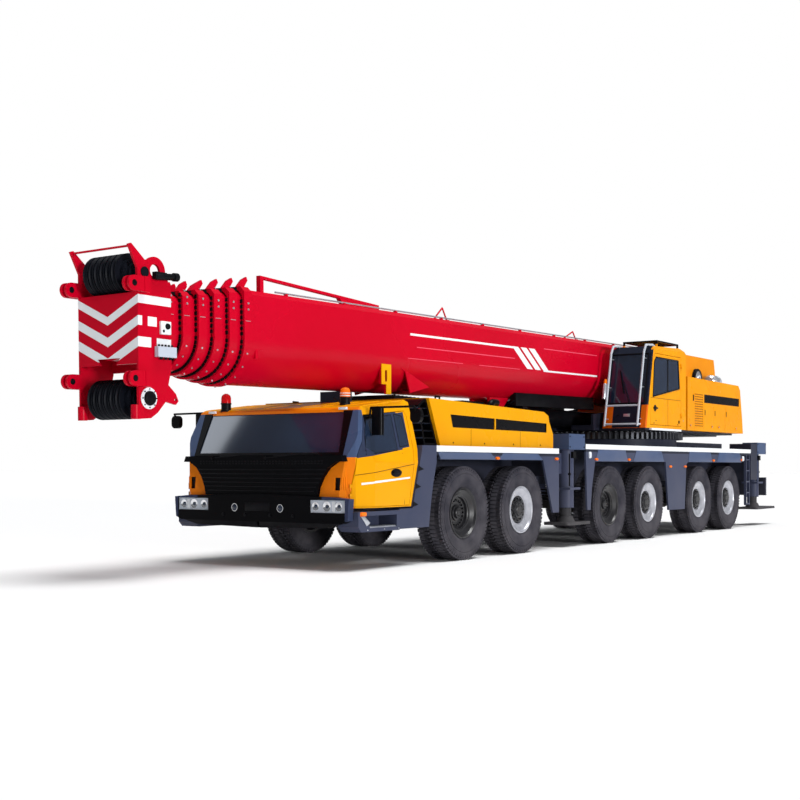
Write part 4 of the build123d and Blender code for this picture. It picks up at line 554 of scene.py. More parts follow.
# Bright step treads with cleats, and the silver corner plates of the step box with its bolts
bright = skin_finish("bright_metal", (0.58, 0.61, 0.66), (0.46, 0.49, 0.54), 0.3, cloud=6, grain=200, dust=0.15,
                     Metallic=0.7)
piece = open_piece("step_treads")
add_pair(add_block, (5.44, 1.24, 0.505), (5.99, 1.44, 0.517))
for number in range(11):
    x = 5.45 + 0.05 * number
    add_pair(add_block, (x, 1.245, 0.515), (x + 0.012, 1.435, 0.525))
add_side_plates([(5.99, 0.565), (6.10, 0.645), (6.17, 0.645), (6.06, 0.53)], SKIRT_FACE, 0.006)
for x in (5.40, 5.70, 6.04):
    add_pair(add_rod, (x, 1.448, 0.482), (x, 1.456, 0.482), 0.009, sides=8)
close_piece(piece, "root", "deck_grey", bright, rounding=0.002)

# Orange and white markers of the sides, besides those that are part of the lamps: places are
# (x, height, half length)
for name, places, tall, finish in (
        ("orange", ((6.13, 0.672, 0.05), (-6.715, 1.36, 0.04)), 0.016, lamp_orange),
        ("white", ((0.155, 1.412, 0.030), (-6.82, 1.39, 0.040)), 0.042, lamp_clear)):
    piece = open_piece(f"side_markers_{name}")
    for x, z, half in places:
        base, rise = half + 0.008, tall + 0.008
        add_pair(add_block, (x - half, 1.444, z - tall), (x + half, 1.468, z + tall))
        add_pair(add_block, (x - base, 1.447, z - rise), (x + base, 1.457, z + rise))
    close_piece(piece, "root", "lamp_lens", finish, rounding=0.004)

# --- Outriggers ---
# Box-section beams that slide out sideways, with a jack at each end: blue-grey paint on welded plate, a bare
# machined leg and a dark float.
outrigger_paint = skin_finish(
    "outrigger_paint", BLUE_GREY, (0.052, 0.060, 0.105), 0.34, dust=0.15,
    # The beams' upper band in the paler blue-grey: a painted sky reflection
    patches=[(BLUE_GREY_SHEEN, UPRIGHT, [((-8.3, 1.0, 1.49), (0.95, 1.46, 1.74))])])
dress(outrigger_paint, *(name for name in frame["nodes"] if name.startswith("outrigger")))
jack_finish = skin_finish("jack_finish", (0.018, 0.020, 0.028), (0.032, 0.033, 0.042), 0.5, cloud=4, dust=0.3)
dress(jack_finish, *(name for name in frame["nodes"] if name.startswith("jack")))
# Valve block, two pressure lines with clips and a bolted cap on each jack barrel
for end, box_x in (("front", 0.6), ("rear", -7.98)):
    for side_name, side in SIDES:
        piece = open_piece(f"jack_lines_{end}_{side_name}")
        face = side * 1.38
        line_y = side * 1.36
        add_block((box_x - 0.05, face - 0.02, 1.36), (box_x + 0.05, face + 0.03, 1.46))
        for x in (box_x - 0.075, box_x + 0.075):
            add_rod((x, line_y, 1.43), (x, line_y, 0.93), 0.010, sides=10)
            add_block((x - 0.018, line_y - 0.018, 1.10), (x + 0.018, line_y + 0.018, 1.13))
        for onward, across in around(12, 0.115):
            spot = (box_x + onward, side * 1.25 + across)
            add_rod((*spot, 0.590), (*spot, 0.604), 0.010, sides=6)
        for x in (box_x - 0.235, box_x + 0.235):
            for z in (1.53, 1.69):
                add_rod((x, side * 1.447, z), (x, side * 1.457, z), 0.012, sides=6)
        close_piece(piece, f"outrigger_{end}_{side_name}", "carrier_blue", black_part)

# --- Slewing ring ---
# Machined steel gear, bolted to the frame all round. Its teeth are left bare and greased, so they stay dark.
SLEW_X = -3.5
ring_finish = skin_finish("ring_finish", (0.10, 0.105, 0.12), (0.05, 0.052, 0.06), 0.45, cloud=3, dust=0.1,
                          Metallic=0.6)
dress(ring_finish, "slew_ring")
piece = open_piece("ring_bolts")
for across, onward in around(72, 1.285, 0.5):
    spot = (SLEW_X + onward, across)
    add_rod((*spot, 1.838), (*spot, 1.852), 0.017, sides=6)
close_piece(piece, "root", "ring_steel", bright)

# --- Engine cover ---
# Moulded cover in yellow gloss, clipped down over the engine, with a black intake slot along each side
# and black fittings on its top.
COVER_FALL = 0.0224
YELLOW = (0.78, 0.345, 0.0)
YELLOW_DEEP = (0.74, 0.30, 0.0)
# A redder orange for the carrier cab's front faces: painted shade
ORANGE_SHADE = (0.80, 0.20, 0.004)
BLACK = (0.002, 0.002, 0.003)
cover_paint = skin_finish(
    "cover_paint", YELLOW, YELLOW_DEEP, 0.28, dust=0.06,
    patches=[(BLACK, UPRIGHT, [((1.3, 1.33, 1.7), (2.888, 1.3455, 1.93)), ((2.917, 1.33, 1.7), (4.1, 1.3455, 1.93)),
                               ((1.85, 0.70, 2.066), (2.25, 0.90, 2.30))])])
dress(cover_paint, "engine_cover")
# On its top: a ribbed filter box, the wide ribbed grille, a pipe, two rails and four lifting eyes
piece = open_piece("cover_fittings")
add_block((2.30, 0.52, 2.045), (2.92, 0.80, 2.155))
for number in range(9):
    x = 2.32 + 0.066 * number
    add_block((x, 0.515, 2.150), (x + 0.025, 0.805, 2.168))
add_block((2.95, -0.62, 2.060), (4.30, 0.62, 2.165), turn=(0, -COVER_FALL, 0))
for number in range(14):
    x = 3.02 + 0.095 * number
    rise = (x - 3.62) * COVER_FALL
    add_block((x - 0.012, -0.60, 2.160 + rise), (x + 0.012, 0.60, 2.176 + rise))
add_rod((1.62, 0.62, 2.105), (2.32, 0.62, 2.120), 0.032)
add_rod((1.62, 0.62, 2.105), (1.62, 0.62, 2.035), 0.032)
add_pair(add_block, (1.56, 1.094, 2.045), (4.40, 1.106, 2.053), turn=(0, -COVER_FALL, 0))
for x in (1.75, 4.10):
    foot = 2.043 + (x - 1.485) * COVER_FALL
    add_pair(add_rod, (x, 1.20, foot), (x, 1.20, foot + 0.045), 0.012)
    add_pair(add_rod, (x + 0.10, 1.20, foot + 0.002), (x + 0.10, 1.20, foot + 0.047), 0.012)
    add_pair(add_rod, (x - 0.012, 1.20, foot + 0.045), (x + 0.112, 1.20, foot + 0.047), 0.012)
close_piece(piece, "root", "mask_black", black_part, rounding=0.003)
# Thin seams between the cover's panels, and the clips along its foot
# Dark finish for the seams between panels, also used as painted shade along the doors' body crease
seam_black_and_crease_shade = skin_finish("seam_black_and_crease_shade", (0.06, 0.028, 0.004), (0.08, 0.036, 0.004), 0.6, dust=0.0)
piece = open_piece("cover_seams")
for x in (2.20, 3.55):
    add_pair(add_block, (x - 0.003, 1.3493, 1.51), (x + 0.003, 1.3517, 1.735))
for x in (1.6, 2.4, 3.2, 4.0):
    add_pair(add_rod, (x, 1.349, 1.545), (x, 1.356, 1.545), 0.011, sides=8)
close_piece(piece, "root", "cover_yellow", seam_black_and_crease_shade)

# --- Carrier cab ---
# Pressed steel cab in yellow, with blue-grey window pillars. Its front faces are painted a redder orange as painted
# shade, and the pillars' sides a paler blue-grey as a painted highlight. The black mask and the bumper are moulded
# plastic, screwed on, and the doors hang on hinges at their front edges.
cab_paint = skin_finish(
    "carrier_cab_paint", YELLOW, YELLOW_DEEP, 0.26, dust=0.04,
    # Redder orange on the front roof band and the front below the windscreen: painted shade
    patches=[(ORANGE_SHADE, UPRIGHT, [((5.95, -0.1, 1.86), (6.4, 1.5, 2.2)), ((6.13, -0.1, 0.5), (6.4, 1.5, 1.4))]),
             # Paler blue-grey on the window pillars: a painted highlight
             (BLUE_GREY_SHEEN, UPRIGHT, [((5.93, 1.20, 1.34), (6.3, 1.46, 1.905))]),
             (BLACK, UPRIGHT, [((5.93, 1.06, 1.34), (6.3, 1.20, 1.905)), ((6.2, 1.115, 0.945), (6.2265, 1.215, 1.105)),
                               ((6.1, -0.1, 1.30), (6.4, 1.135, 1.401))])])
dress(cab_paint, "carrier_cab_shell")
door_paint = skin_finish(
    "carrier_door_paint", YELLOW, YELLOW_DEEP, 0.26, dust=0.04,
    patches=[((0.030, 0.040, 0.078), (0, 0.125, 0), [((5.225, -0.1, 2.094), (6.3, 1.5, 2.575)),
                                                     ((5.065, -0.1, 2.11), (5.23, 1.5, 2.545))]),
             (BLACK, UPRIGHT, [((5.70, 1.278, 1.60), (5.92, 2.1, 1.96)), ((5.70, 1.50, 1.70), (5.92, 2.1, 1.97))])])
dress(door_paint, "carrier_door_left", "carrier_door_right")
glass = skin_finish("window_glass", (0.010, 0.018, 0.040), (0.014, 0.025, 0.052), 0.06, spread=0.02, dust=0.0,
                    bump=0.0, Specular_IOR_Level=0.6)
dress(glass, "carrier_cab_glass")
# Blue-grey along the edges of the air inlet's black slats: a painted highlight
inlet_slat_highlights = [((4.3, 0.95, 1.588 + 0.095 * number), (4.85, 1.328, 1.606 + 0.095 * number)) for number in range(5)]
mask_paint = skin_finish(
    "mask_paint", (0.0012, 0.0012, 0.002), (0.002, 0.002, 0.003), 0.4, dust=0.0, Specular_IOR_Level=0.05,
    patches=[(BLUE_GREY, UPRIGHT,
              [((6.2, 1.0, 0.836), (6.345, 1.41, 0.89)), ((6.2, 1.341, 0.59), (6.345, 1.41, 0.89))]),
             ((0.045, 0.062, 0.110), UPRIGHT, inlet_slat_highlights)])
dress(mask_paint, "carrier_cab_fascia")
lens = skin_finish("lamp_lens", (0.90, 0.19, 0.010), (0.80, 0.14, 0.008), 0.2, dust=0.03,
                   patches=[((0.50, 0.55, 0.62), UPRIGHT, [((6.2, -0.1, 0.6), (6.4, 1.4, 0.9))]),
                            ((0.55, 0.010, 0.012), UPRIGHT, [((5.80, 0.8, 2.0), (6.02, 1.0, 2.3))])])
dress(lens, "lamps")
seat = skin_finish("seat_fabric", (0.02, 0.02, 0.022), (0.03, 0.03, 0.034), 0.85, cloud=20, grain=300, dust=0.0)
dress(seat, "carrier_cab_interior", "operator_cab_interior")

# Headlamps: three chromed reflectors with dark bulbs behind the flat lens, and the round lamp in the bumper
LENS_FACE = 6.3245
LAMP_HEIGHT = 0.760
REFLECTORS = {0.900: 0.052, 1.070: 0.060, 1.245: 0.052}
BUMPER_LAMP = (6.3395, 0.367, 0.727)
chrome = skin_finish("rod_chrome", (0.75, 0.76, 0.78), (0.68, 0.69, 0.72), 0.1, spread=0.05, dust=0.05, bump=0.0,
                     Metallic=1.0)
piece = open_piece("lamp_reflectors")
for y, radius in REFLECTORS.items():
    bowl = [(0.0, radius), (0.008, radius), (0.008, radius - 0.006), (0.002, radius * 0.55), (0.002, 0.0), (0.0, 0.0)]
    add_pair(add_turned, bowl, (LENS_FACE, y, LAMP_HEIGHT), axis=FORWARD, steps=32)
for number in range(5):
    y = 1.150 + 0.009 * number
    add_pair(add_block, (LENS_FACE, y - 0.0025, 0.700), (6.329, y + 0.0025, 0.820))
add_pair(add_turned, [(0.0, 0.048), (0.010, 0.048), (0.010, 0.043), (0.0, 0.043)], BUMPER_LAMP, axis=FORWARD, steps=32)
close_piece(piece, "root", "lamp_lens", chrome)
piece = open_piece("lamp_bulbs")
for y in REFLECTORS:
    add_pair(add_turned, [(0.0, 0.0), (0.0, 0.024), (0.008, 0.020), (0.011, 0.0)], (6.3265, y, LAMP_HEIGHT),
             axis=FORWARD, steps=24)
add_pair(add_turned, [(0.0, 0.0), (0.0, 0.043), (0.006, 0.030), (0.004, 0.0)], BUMPER_LAMP, axis=FORWARD, steps=24)
close_piece(piece, "root", "lamp_lens", glass)

# Grille bars and two rows of louvres across the mask, the valance and plugs of the bumper, its blank plate
piece = open_piece("mask_bars")
for number in range(6):
    half, z = 0.86 + 0.035 * number, 0.930 + 0.052 * number
    add_block((6.296, -half, z), (6.309, half, z + 0.013))
for number in range(40):
    y = -0.975 + 0.05 * number
    for z in (1.262, 1.290):
        add_block((6.297, y - 0.018, z), (6.305, y + 0.018, z + 0.014))
add_pair(add_plate, [(6.335, 0.02, 0.565), (6.335, 1.27, 0.565), (6.315, 1.05, 0.505), (6.315, 0.02, 0.485)],
         (-0.09, 0, 0))
for y in (0.20, 0.56):
    add_pair(add_rod, (6.33, y, 0.640), (6.352, y, 0.640), 0.020, sides=20)
add_block((6.338, -0.20, 0.690), (6.346, 0.20, 0.790))
close_piece(piece, "root", "mask_black", black_part, rounding=0.002)
# The two wipers at rest along the windscreen's foot
WIPER_REACH = 0.72
piece = open_piece("wipers")
for y in (0.10, -0.78):
    add_rod((6.302, y, 1.335), (6.322, y, 1.335), 0.018, sides=12)
    add_rod((6.318, y, 1.335), (6.318, y + 0.62 * WIPER_REACH, 1.372), 0.006, sides=8)
    add_rod((6.318, y + 0.14, 1.362), (6.318, y + WIPER_REACH + 0.10, 1.392), 0.009, sides=8)
close_piece(piece, "root", "mask_black", black_part)

# Ribs beside the air inlet of each cheek, and the roof's pressed ribs and rain rail
piece = open_piece("cheek_ribs")
for y in (1.227, 1.245, 1.263):
    x = 6.285 - (y - 1.18) * 0.8378
    add_pair(add_block, (x - 0.010, y - 0.005, 0.955), (x + 0.007, y + 0.005, 1.105))
close_piece(piece, "root", "cab_orange", cab_paint, rounding=0.002)
piece = open_piece("roof_ribs")
for y in (0.30, 0.62, 0.94):
    add_pair(add_block, (5.12, y - 0.022, 2.003), (5.86, y + 0.022, 2.015), turn=(0, 0.1222, 0))
add_pair(add_rod, (5.06, 1.262, 2.055), (5.90, 1.262, 1.953), 0.010, sides=10)
close_piece(piece, "root", "cab_orange", cab_paint, rounding=0.004)

# Beacons: black feet, an orange and a red dome, two clear bands, and a small clear lamp at each roof corner
BEACONS = {"left": (5.62, 0.80, 1.975), "right": (5.92, -0.90, 1.935)}
DOME_LIFT = 0.110
FOOT = [(0.0, 0.0), (0.0, 0.072), (0.020, 0.072), (0.030, 0.063), (0.095, 0.063), (0.100, 0.070), (0.112, 0.070),
        (0.112, 0.0)]
DOME = [(0.0, 0.0), (0.0, 0.064), (0.070, 0.063), (0.096, 0.056), (0.114, 0.040), (0.122, 0.018), (0.122, 0.0)]
piece = open_piece("beacon_feet")
for place in BEACONS.values():
    add_turned(FOOT, place, UPWARD, steps=32)
add_rod((5.45, 0.62, 2.015), (5.62, 0.62, 2.085), 0.006, sides=8)
add_block((5.42, 0.60, 1.995), (5.47, 0.64, 2.022))
close_piece(piece, "root", "mask_black", black_part)
for name, finish in (("left", lamp_orange), ("right", lamp_red)):
    x, y, z = BEACONS[name]
    piece = open_piece(f"beacon_dome_{name}")
    add_turned(DOME, (x, y, z + DOME_LIFT), UPWARD, steps=32)
    close_piece(piece, "root", "lamp_lens", finish)
piece = open_piece("beacon_rings")
for z in (2.098, 2.128):
    add_turned([(0.0, 0.060), (0.0, 0.0655), (0.012, 0.0655), (0.012, 0.060)], (*BEACONS["left"][:2], z), UPWARD,
               steps=32)
add_pair(add_block, (5.985, 1.005, 1.912), (6.022, 1.115, 1.942))
close_piece(piece, "root", "lamp_lens", lamp_clear, rounding=0.003)

# Doors: window frames, panes and sill, recessed handle, dark rods along the body crease as painted shade, white stripe
# and mirror glass.
# Outlines are (x, z) corners on the door's skin
WINDOW = [(5.985, 1.372), (5.950, 1.650), (5.880, 1.790), (5.340, 1.870), (5.340, 1.430)]
QUARTER = [(5.280, 1.880), (5.110, 1.860), (5.080, 1.500), (5.280, 1.470)]
SILL = [(5.860, 1.378), (5.340, 1.424), (5.300, 1.290), (5.860, 1.290)]
DOOR_HALF = 1.43
FRONT_BEND = 5.86
WAIST = 1.28
stripe_white = skin_finish("door_white", WHITE, WHITE, 0.4, dust=0.03)


def door_face(x, z, side, lift):
    """The point of the door's skin at that place, lifted off it."""
    half = DOOR_HALF - max(0.0, x - FRONT_BEND) / 3
    half = min(half, DOOR_HALF - max(0.0, z - WAIST) * 0.2438)
    return (x, side * (half + lift), z)


def add_door_plate(corners, side, lift, thickness):
    add_plate([door_face(x, z, side, lift) for x, z in corners], (0, side * thickness, 0))


for side_name, side in SIDES:
    door = f"carrier_door_{side_name}"
    piece = open_piece(f"{door}_black")
    for outline in (WINDOW, QUARTER):
        for corner, following in zip(outline, outline[1:] + outline[:1]):
            add_rod(door_face(*corner, side, 0.0), door_face(*following, side, 0.0), 0.005, sides=8)
    add_plate([(5.42 + 0.115 * cos(pi * step / 12), side * 1.429, 1.155 + 0.052 * sin(pi * step / 12))
               for step in range(24)], (0, side * 0.004, 0))
    for rear, front, middle, half in ((5.335, 5.505, 1.446, 0.008), (5.335, 5.355, 1.438, 0.010),
                                      (5.485, 5.505, 1.438, 0.010)):
        add_block((rear, side * middle - half, 1.150), (front, side * middle + half, 1.176))
    close_piece(piece, door, "mask_black", black_part, rounding=0.002)
    piece = open_piece(f"{door}_panes")
    for outline in (WINDOW, QUARTER):
        add_door_plate(outline, side, 0.0015, -0.004)
    close_piece(piece, door, "window_glass", glass)
    piece = open_piece(f"{door}_sill")
    add_door_plate(SILL, side, 0.0025, -0.004)
    close_piece(piece, door, "cover_yellow", door_paint)
    # The two rods along the body crease are painted shade in its fold
    piece = open_piece(f"{door}_lines")
    for start, end in (((5.03, 1.262), (5.86, 1.160)), ((5.86, 1.160), (6.135, 1.128)),
                       ((5.246, 0.765), (5.246, 1.400))):
        add_rod(door_face(*start, side, 0.0), door_face(*end, side, 0.0), 0.0035, sides=6)
    close_piece(piece, door, "cover_yellow", seam_black_and_crease_shade)
    piece = open_piece(f"{door}_stripe")
    for (rear, low), (front, front_low) in (((5.126, 1.084), (5.86, 1.032)), ((5.86, 1.032), (6.05, 1.012))):
        add_door_plate([(rear, low), (front, front_low), (front, front_low + 0.026), (rear, low + 0.020)],
                       side, -0.001, 0.003)
    close_piece(piece, door, "cover_yellow", stripe_white)
    # Mirror glass, a hair proud of the rear face of both heads
    piece = open_piece(f"{door}_mirror_glass")
    add_block((5.7775, side * 1.440 - 0.055, 1.640), (5.781, side * 1.440 + 0.055, 1.895))
    add_block((5.7175, side * 1.950 - 0.055, 1.775), (5.721, side * 1.950 + 0.055, 1.885))
    close_piece(piece, door, "rod_chrome", chrome, rounding=0.001)

# --- Boom ---
# Seven nested box sections with round bellies, welded from folded high-tensile plate and painted in red
# gloss. White stripe bars and lines run down the base section's sides, pale lines along its weld seams are painted
# highlights, and white chevrons are painted on the head.
RED = (0.55, 0.0006, 0.018)
RED_DEEP = (0.50, 0.0005, 0.014)
# Pale pink of the painted highlights along the weld seams
SEAM_HIGHLIGHT = (0.80, 0.10, 0.17)
DROOP = 0.01571
DROOP_ANGLE = radians(0.9)
BOOM_FOOT = (-6.4, 2.945)
BOOM_AXIS = (cos(DROOP_ANGLE), 0, -sin(DROOP_ANGLE))


def on_boom(along, across, up):
    """The place that far along, across and up in the boom's own tilted frame."""
    return (BOOM_FOOT[0] + along * cos(DROOP_ANGLE) + up * sin(DROOP_ANGLE), across,
            BOOM_FOOT[1] - along * sin(DROOP_ANGLE) + up * cos(DROOP_ANGLE))


def add_boom_block(low, high):
    middle = [(a + b) / 2 for a, b in zip(low, high)]
    bpy.ops.mesh.primitive_cube_add(size=1, location=on_boom(*middle), rotation=(0, DROOP_ANGLE, 0),
                                    scale=[abs(b - a) for a, b in zip(low, high)])
    bpy.ops.mesh.select_all(action="DESELECT")


def add_boom_rod(start, end, radius, sides):
    add_rod(on_boom(*start), on_boom(*end), radius, sides)


boom_paint = skin_finish("boom_paint", RED, RED_DEEP, 0.28, dust=0.0, cloud=0.4)
# Thin pale lines along the weld seams, painted highlights, as (rear end, front end, height at X = 0)
SEAM_HIGHLIGHTS = [(4.43, 5.87, 2.62), (0.69, 1.93, 2.77), (2.38, 3.80, 2.77), (0.85, 3.59, 2.934), (-2.07, -0.11, 3.142)]
SLANTED_BARS = (-3.842, -4.110, -4.375)
stripes_and_highlights = [(SEAM_HIGHLIGHT, (0, DROOP, 0),
            [((rear, 0.4985, height - 0.006), (front, 0.51, height + 0.006)) for rear, front, height in SEAM_HIGHLIGHTS]),
           (WHITE, (-1.47, DROOP, 0), [((start, 0.49, 2.79), (start + 0.19, 0.51, 3.12)) for start in SLANTED_BARS]),
           (WHITE, (0, DROOP, 0), [((0.78, 0.4985, 3.088), (3.75, 0.51, 3.118)),
                                   ((-2.08, 0.4985, 2.765), (-0.1, 0.51, 2.795))]),
           ((0.80, 0.42, 0.002), UPRIGHT, [((4.19, 0.4825, 2.19), (4.42, 0.5, 2.602))])]
base_paint = skin_finish("boom_base_paint", RED, RED_DEEP, 0.28, dust=0.0, cloud=0.4, patches=stripes_and_highlights)
# Lower and upper edge of each chevron at the middle line, and the stretches of the cheeks that are white
CHEVRONS = [(2.73, 2.82, [(8.26, 8.76)]), (2.50, 2.60, [(8.68, 8.76), (8.47, 8.60)]),
            (2.275, 2.38, [(8.55, 8.76), (8.26, 8.47)])]
on_cheeks = [((rear, 0.4595, low), (front, 0.47, high)) for low, high, spans in CHEVRONS for rear, front in spans]
on_front = [((8.70, -0.1, low), (8.76, 0.47, high)) for low, high, spans in CHEVRONS]
head_paint = skin_finish(
    "boom_head_paint", RED, RED_DEEP, 0.28, dust=0.0, cloud=0.4,
    patches=[(WHITE, (0, 0, -0.46), on_cheeks + on_front),
             ((0.50, 0.55, 0.64), UPRIGHT, [((8.22, 0.476, 2.38), (8.54, 0.54, 2.52))])])
dress(boom_paint, *(f"telescope_{number}" for number in range(1, 6)))
dress(black_part, "luff_barrel")
dress(base_paint, "boom_base")
dress(head_paint, "telescope_6")
dress(chrome, "luff_rod")

# Collars: toothed black seal against the next section, bolts, a thin bright strip as a painted highlight along the
# seam, and the black top pad with its rings
FIRST_COLLAR = 13.56
COLLAR_PITCH = 0.215
STEP_IN = 0.032
BASE_HALF, BASE_TOP, BELLY_MIDDLE = 0.5, 0.54, -0.04
COLLAR_PROUD = 0.026


def on_belly(reach, angle):
    """The (across, up) place on the round belly, from its left edge at angle 0 under to the right."""
    return -reach * cos(angle), BELLY_MIDDLE - reach * sin(angle)


for number, section in enumerate(["boom_base", *(f"telescope_{inner}" for inner in range(1, 6))]):
    front = FIRST_COLLAR + COLLAR_PITCH * number
    half = BASE_HALF - STEP_IN * number + COLLAR_PROUD
    inner = BASE_HALF - STEP_IN * (number + 1)
    inner_top = BASE_TOP - STEP_IN * (number + 1)
    piece = open_piece(f"collar_seal_{number}")
    for step in range(7):
        low = 0.062 * step
        add_pair(add_boom_block, (front - 0.004, inner + 0.005, low), (front + 0.014, inner + 0.033, low + 0.040))
    for step in range(25):
        angle = pi * (step + 0.5) / 25
        bpy.ops.mesh.primitive_cube_add(size=1, location=on_boom(front + 0.005, *on_belly(inner + 0.019, angle)),
                                        rotation=(angle, DROOP_ANGLE, 0), scale=(0.018, 0.028, 0.040))
    bpy.ops.mesh.select_all(action="DESELECT")
    add_boom_block((front - 0.004, -inner + 0.10, inner_top + 0.004), (front + 0.060, inner - 0.10, inner_top + 0.030))
    add_pair(add_boom_block, (front - 0.004, inner - 0.145, inner_top + 0.004),
             (front + 0.078, inner - 0.055, inner_top + 0.046))
    close_piece(piece, section, "sheave_black", black_part)
    piece = open_piece(f"collar_bolts_and_highlight_{number}")
    bolts = front - 0.065
    for up in (0.30, 0.37):
        add_pair(add_boom_rod, (bolts, half - 0.003, up), (bolts, half + 0.009, up), 0.013, sides=6)
    # A thin bright strip on each side: a painted highlight along the collar's seam
    add_pair(add_boom_block, (front - 0.105, half - 0.003, 0.165), (front - 0.020, half + 0.003, 0.171))
    add_pair(add_turned, [(0.0, 0.026), (0.0, 0.034), (0.012, 0.034), (0.012, 0.026)],
             on_boom(front + 0.078, inner - 0.10, inner_top + 0.025), axis=BOOM_AXIS, steps=20)
    for step in range(9):
        angle = pi * (step + 1.0) / 10
        add_boom_rod((bolts, *on_belly(half, angle)), (bolts, *on_belly(half + 0.010, angle)), 0.011, sides=6)
    close_piece(piece, section, "boom_red", bright)

# Base section's small parts: hoops on its top, clips for the pipes, hose trays at the belly and two pipes
piece = open_piece("boom_hoops")
for front, rear, height in ((9.40, 9.06, 0.712), (5.40, 4.94, 0.672)):
    peak = (rear + 0.12, 0.40, height)
    add_pair(add_boom_rod, (front, 0.40, 0.535), peak, 0.012, sides=10)
    add_pair(add_boom_rod, peak, (rear, 0.40, 0.535), 0.012, sides=10)
    for along in (front, rear):
        add_pair(add_boom_block, (along - 0.03, 0.37, 0.538), (along + 0.03, 0.43, 0.548))
for number in range(11):
    along = 1.2 + 1.15 * number
    add_boom_block((along - 0.02, 0.405, 0.538), (along + 0.02, 0.445, 0.562))
close_piece(piece, "boom_base", "boom_red", boom_paint, rounding=0.002)
piece = open_piece("belly_hose_trays")
add_pair(add_boom_block, (4.15, 0.235, -0.640), (6.95, 0.345, -0.430))
for number in range(4):
    across, up = 0.255 + 0.022 * number, -0.60 + 0.012 * number
    add_pair(add_boom_rod, (4.10, across, up), (7.02, across, up), 0.009, sides=8)
close_piece(piece, "boom_base", "sheave_black", black_part, rounding=0.004)
piece = open_piece("boom_pipe")
add_boom_rod((0.9, 0.425, 0.565), (12.9, 0.425, 0.565), 0.011, sides=10)
add_boom_rod((0.9, -0.425, 0.552), (12.9, -0.425, 0.552), 0.014, sides=10)
close_piece(piece, "boom_base", "boom_red", bright)

# Head: white sensor box and ring on the left cheek
LOWER_AXLE = (15.0, -0.76)
UPPER_AXLE = (15.04, 0.565)
head_white = skin_finish("head_white", WHITE, (0.72, 0.76, 0.82), 0.35, dust=0.0)
piece = open_piece("head_sensor")
add_boom_block((14.690, 0.458, -0.075), (14.835, 0.492, 0.065))
add_turned([(0.0, 0.0), (0.0, 0.115), (0.010, 0.115), (0.014, 0.085), (0.014, 0.0)],
           on_boom(LOWER_AXLE[0], 0.460, LOWER_AXLE[1]), LEFTWARD, steps=40)
close_piece(piece, "telescope_6", "boom_red", head_white, rounding=0.004)

# Its dark parts: the sensor's eyes, two rows of cable plugs, the lower axle's cap with bolts, the wind
# gauge on the upper edge and the four guard pins
piece = open_piece("head_dark_parts")
add_turned([(0.0, 0.0), (0.0, 0.034), (0.018, 0.030), (0.026, 0.0)], on_boom(14.745, 0.490, 0.012), LEFTWARD, steps=28)
add_turned([(0.0, 0.0), (0.0, 0.020), (0.012, 0.0)], on_boom(14.80, 0.490, -0.040), LEFTWARD, steps=20)
for count, start, pitch, low, high, radius in ((5, 14.690, 0.048, -0.205, -0.185, 0.012),
                                               (3, 14.720, 0.065, -0.345, -0.320, 0.018)):
    for number in range(count):
        along = start + pitch * number
        add_boom_rod((along, 0.500, low), (along, 0.500, high), radius, sides=12)
add_turned([(0.0, 0.0), (0.0, 0.080), (0.028, 0.074), (0.032, 0.045), (0.036, 0.045), (0.036, 0.0)],
           on_boom(LOWER_AXLE[0], 0.470, LOWER_AXLE[1]), LEFTWARD, steps=36)
for onward, rise in around(8, 0.098):
    along, up = LOWER_AXLE[0] + onward, LOWER_AXLE[1] + rise
    add_boom_rod((along, 0.474, up), (along, 0.483, up), 0.008, sides=6)
add_boom_rod((14.66, 0.500, 0.545), (14.92, 0.500, 0.525), 0.036, sides=20)
add_boom_rod((14.60, 0.500, 0.549), (14.66, 0.500, 0.545), 0.046, sides=20)
add_boom_block((14.78, 0.470, 0.500), (14.94, 0.530, 0.575))
for up in (0.425, -0.560):
    add_pair(add_boom_rod, (15.25, 0.43, up), (15.25, 0.537, up), 0.033, sides=20)
close_piece(piece, "telescope_6", "sheave_black", black_part, rounding=0.002)

# Sheaves: six grooved wheels side by side on each of the two axles, between bolted hub flanges
sheave_finish = skin_finish("sheave_black", (0.003, 0.004, 0.007), (0.006, 0.007, 0.011), 0.4, cloud=6, dust=0.0)
HUB = [(-0.470, 0.0), (-0.470, 0.055), (-0.345, 0.055), (-0.345, 0.100), (-0.300, 0.100), (-0.300, 0.150)]
GROOVE = [(-0.034, 0.150), (-0.034, 0.215), (-0.026, 0.215), (-0.007, 0.186), (0.007, 0.186), (0.026, 0.215),
          (0.034, 0.215), (0.034, 0.150)]
wheels = [(-0.215 + 0.086 * number + distance, radius) for number in range(6) for distance, radius in GROOVE]
pack = HUB + wheels + [(-distance, radius) for distance, radius in reversed(HUB)]
piece = open_piece("sheave_packs")
for along, up in (UPPER_AXLE, LOWER_AXLE):
    add_turned(pack, on_boom(along, 0, up), LEFTWARD, steps=64)
    for onward, rise in around(10, 0.125):
        add_pair(add_boom_rod, (along + onward, 0.299, up + rise), (along + onward, 0.311, up + rise), 0.010, sides=6)
close_piece(piece, "telescope_6", "sheave_black", sheave_finish, "head_sheaves")

# Luffing cylinder: bolted gland at the barrel's mouth
piece = open_piece("luff_gland")
LUFF_FOOT = Vector((-3.9, 0, 2.05))
luff_span = Vector((4.8, 0, 0.04))
luff_along = luff_span.normalized()
mouth = LUFF_FOOT + luff_along * (luff_span.length - 0.3)
add_turned([(-0.10, 0.149), (-0.10, 0.168), (0.0, 0.168), (0.012, 0.150), (0.012, 0.100), (0.0, 0.100), (0.0, 0.149)],
           mouth, luff_along, steps=40)
for across, up in around(12, 0.128):
    spot = mouth + Vector((0, across, up)) + luff_along * 0.008
    add_rod(spot, spot + luff_along * 0.016, 0.011, sides=6)
close_piece(piece, "luff_barrel", "boom_red", black_part)

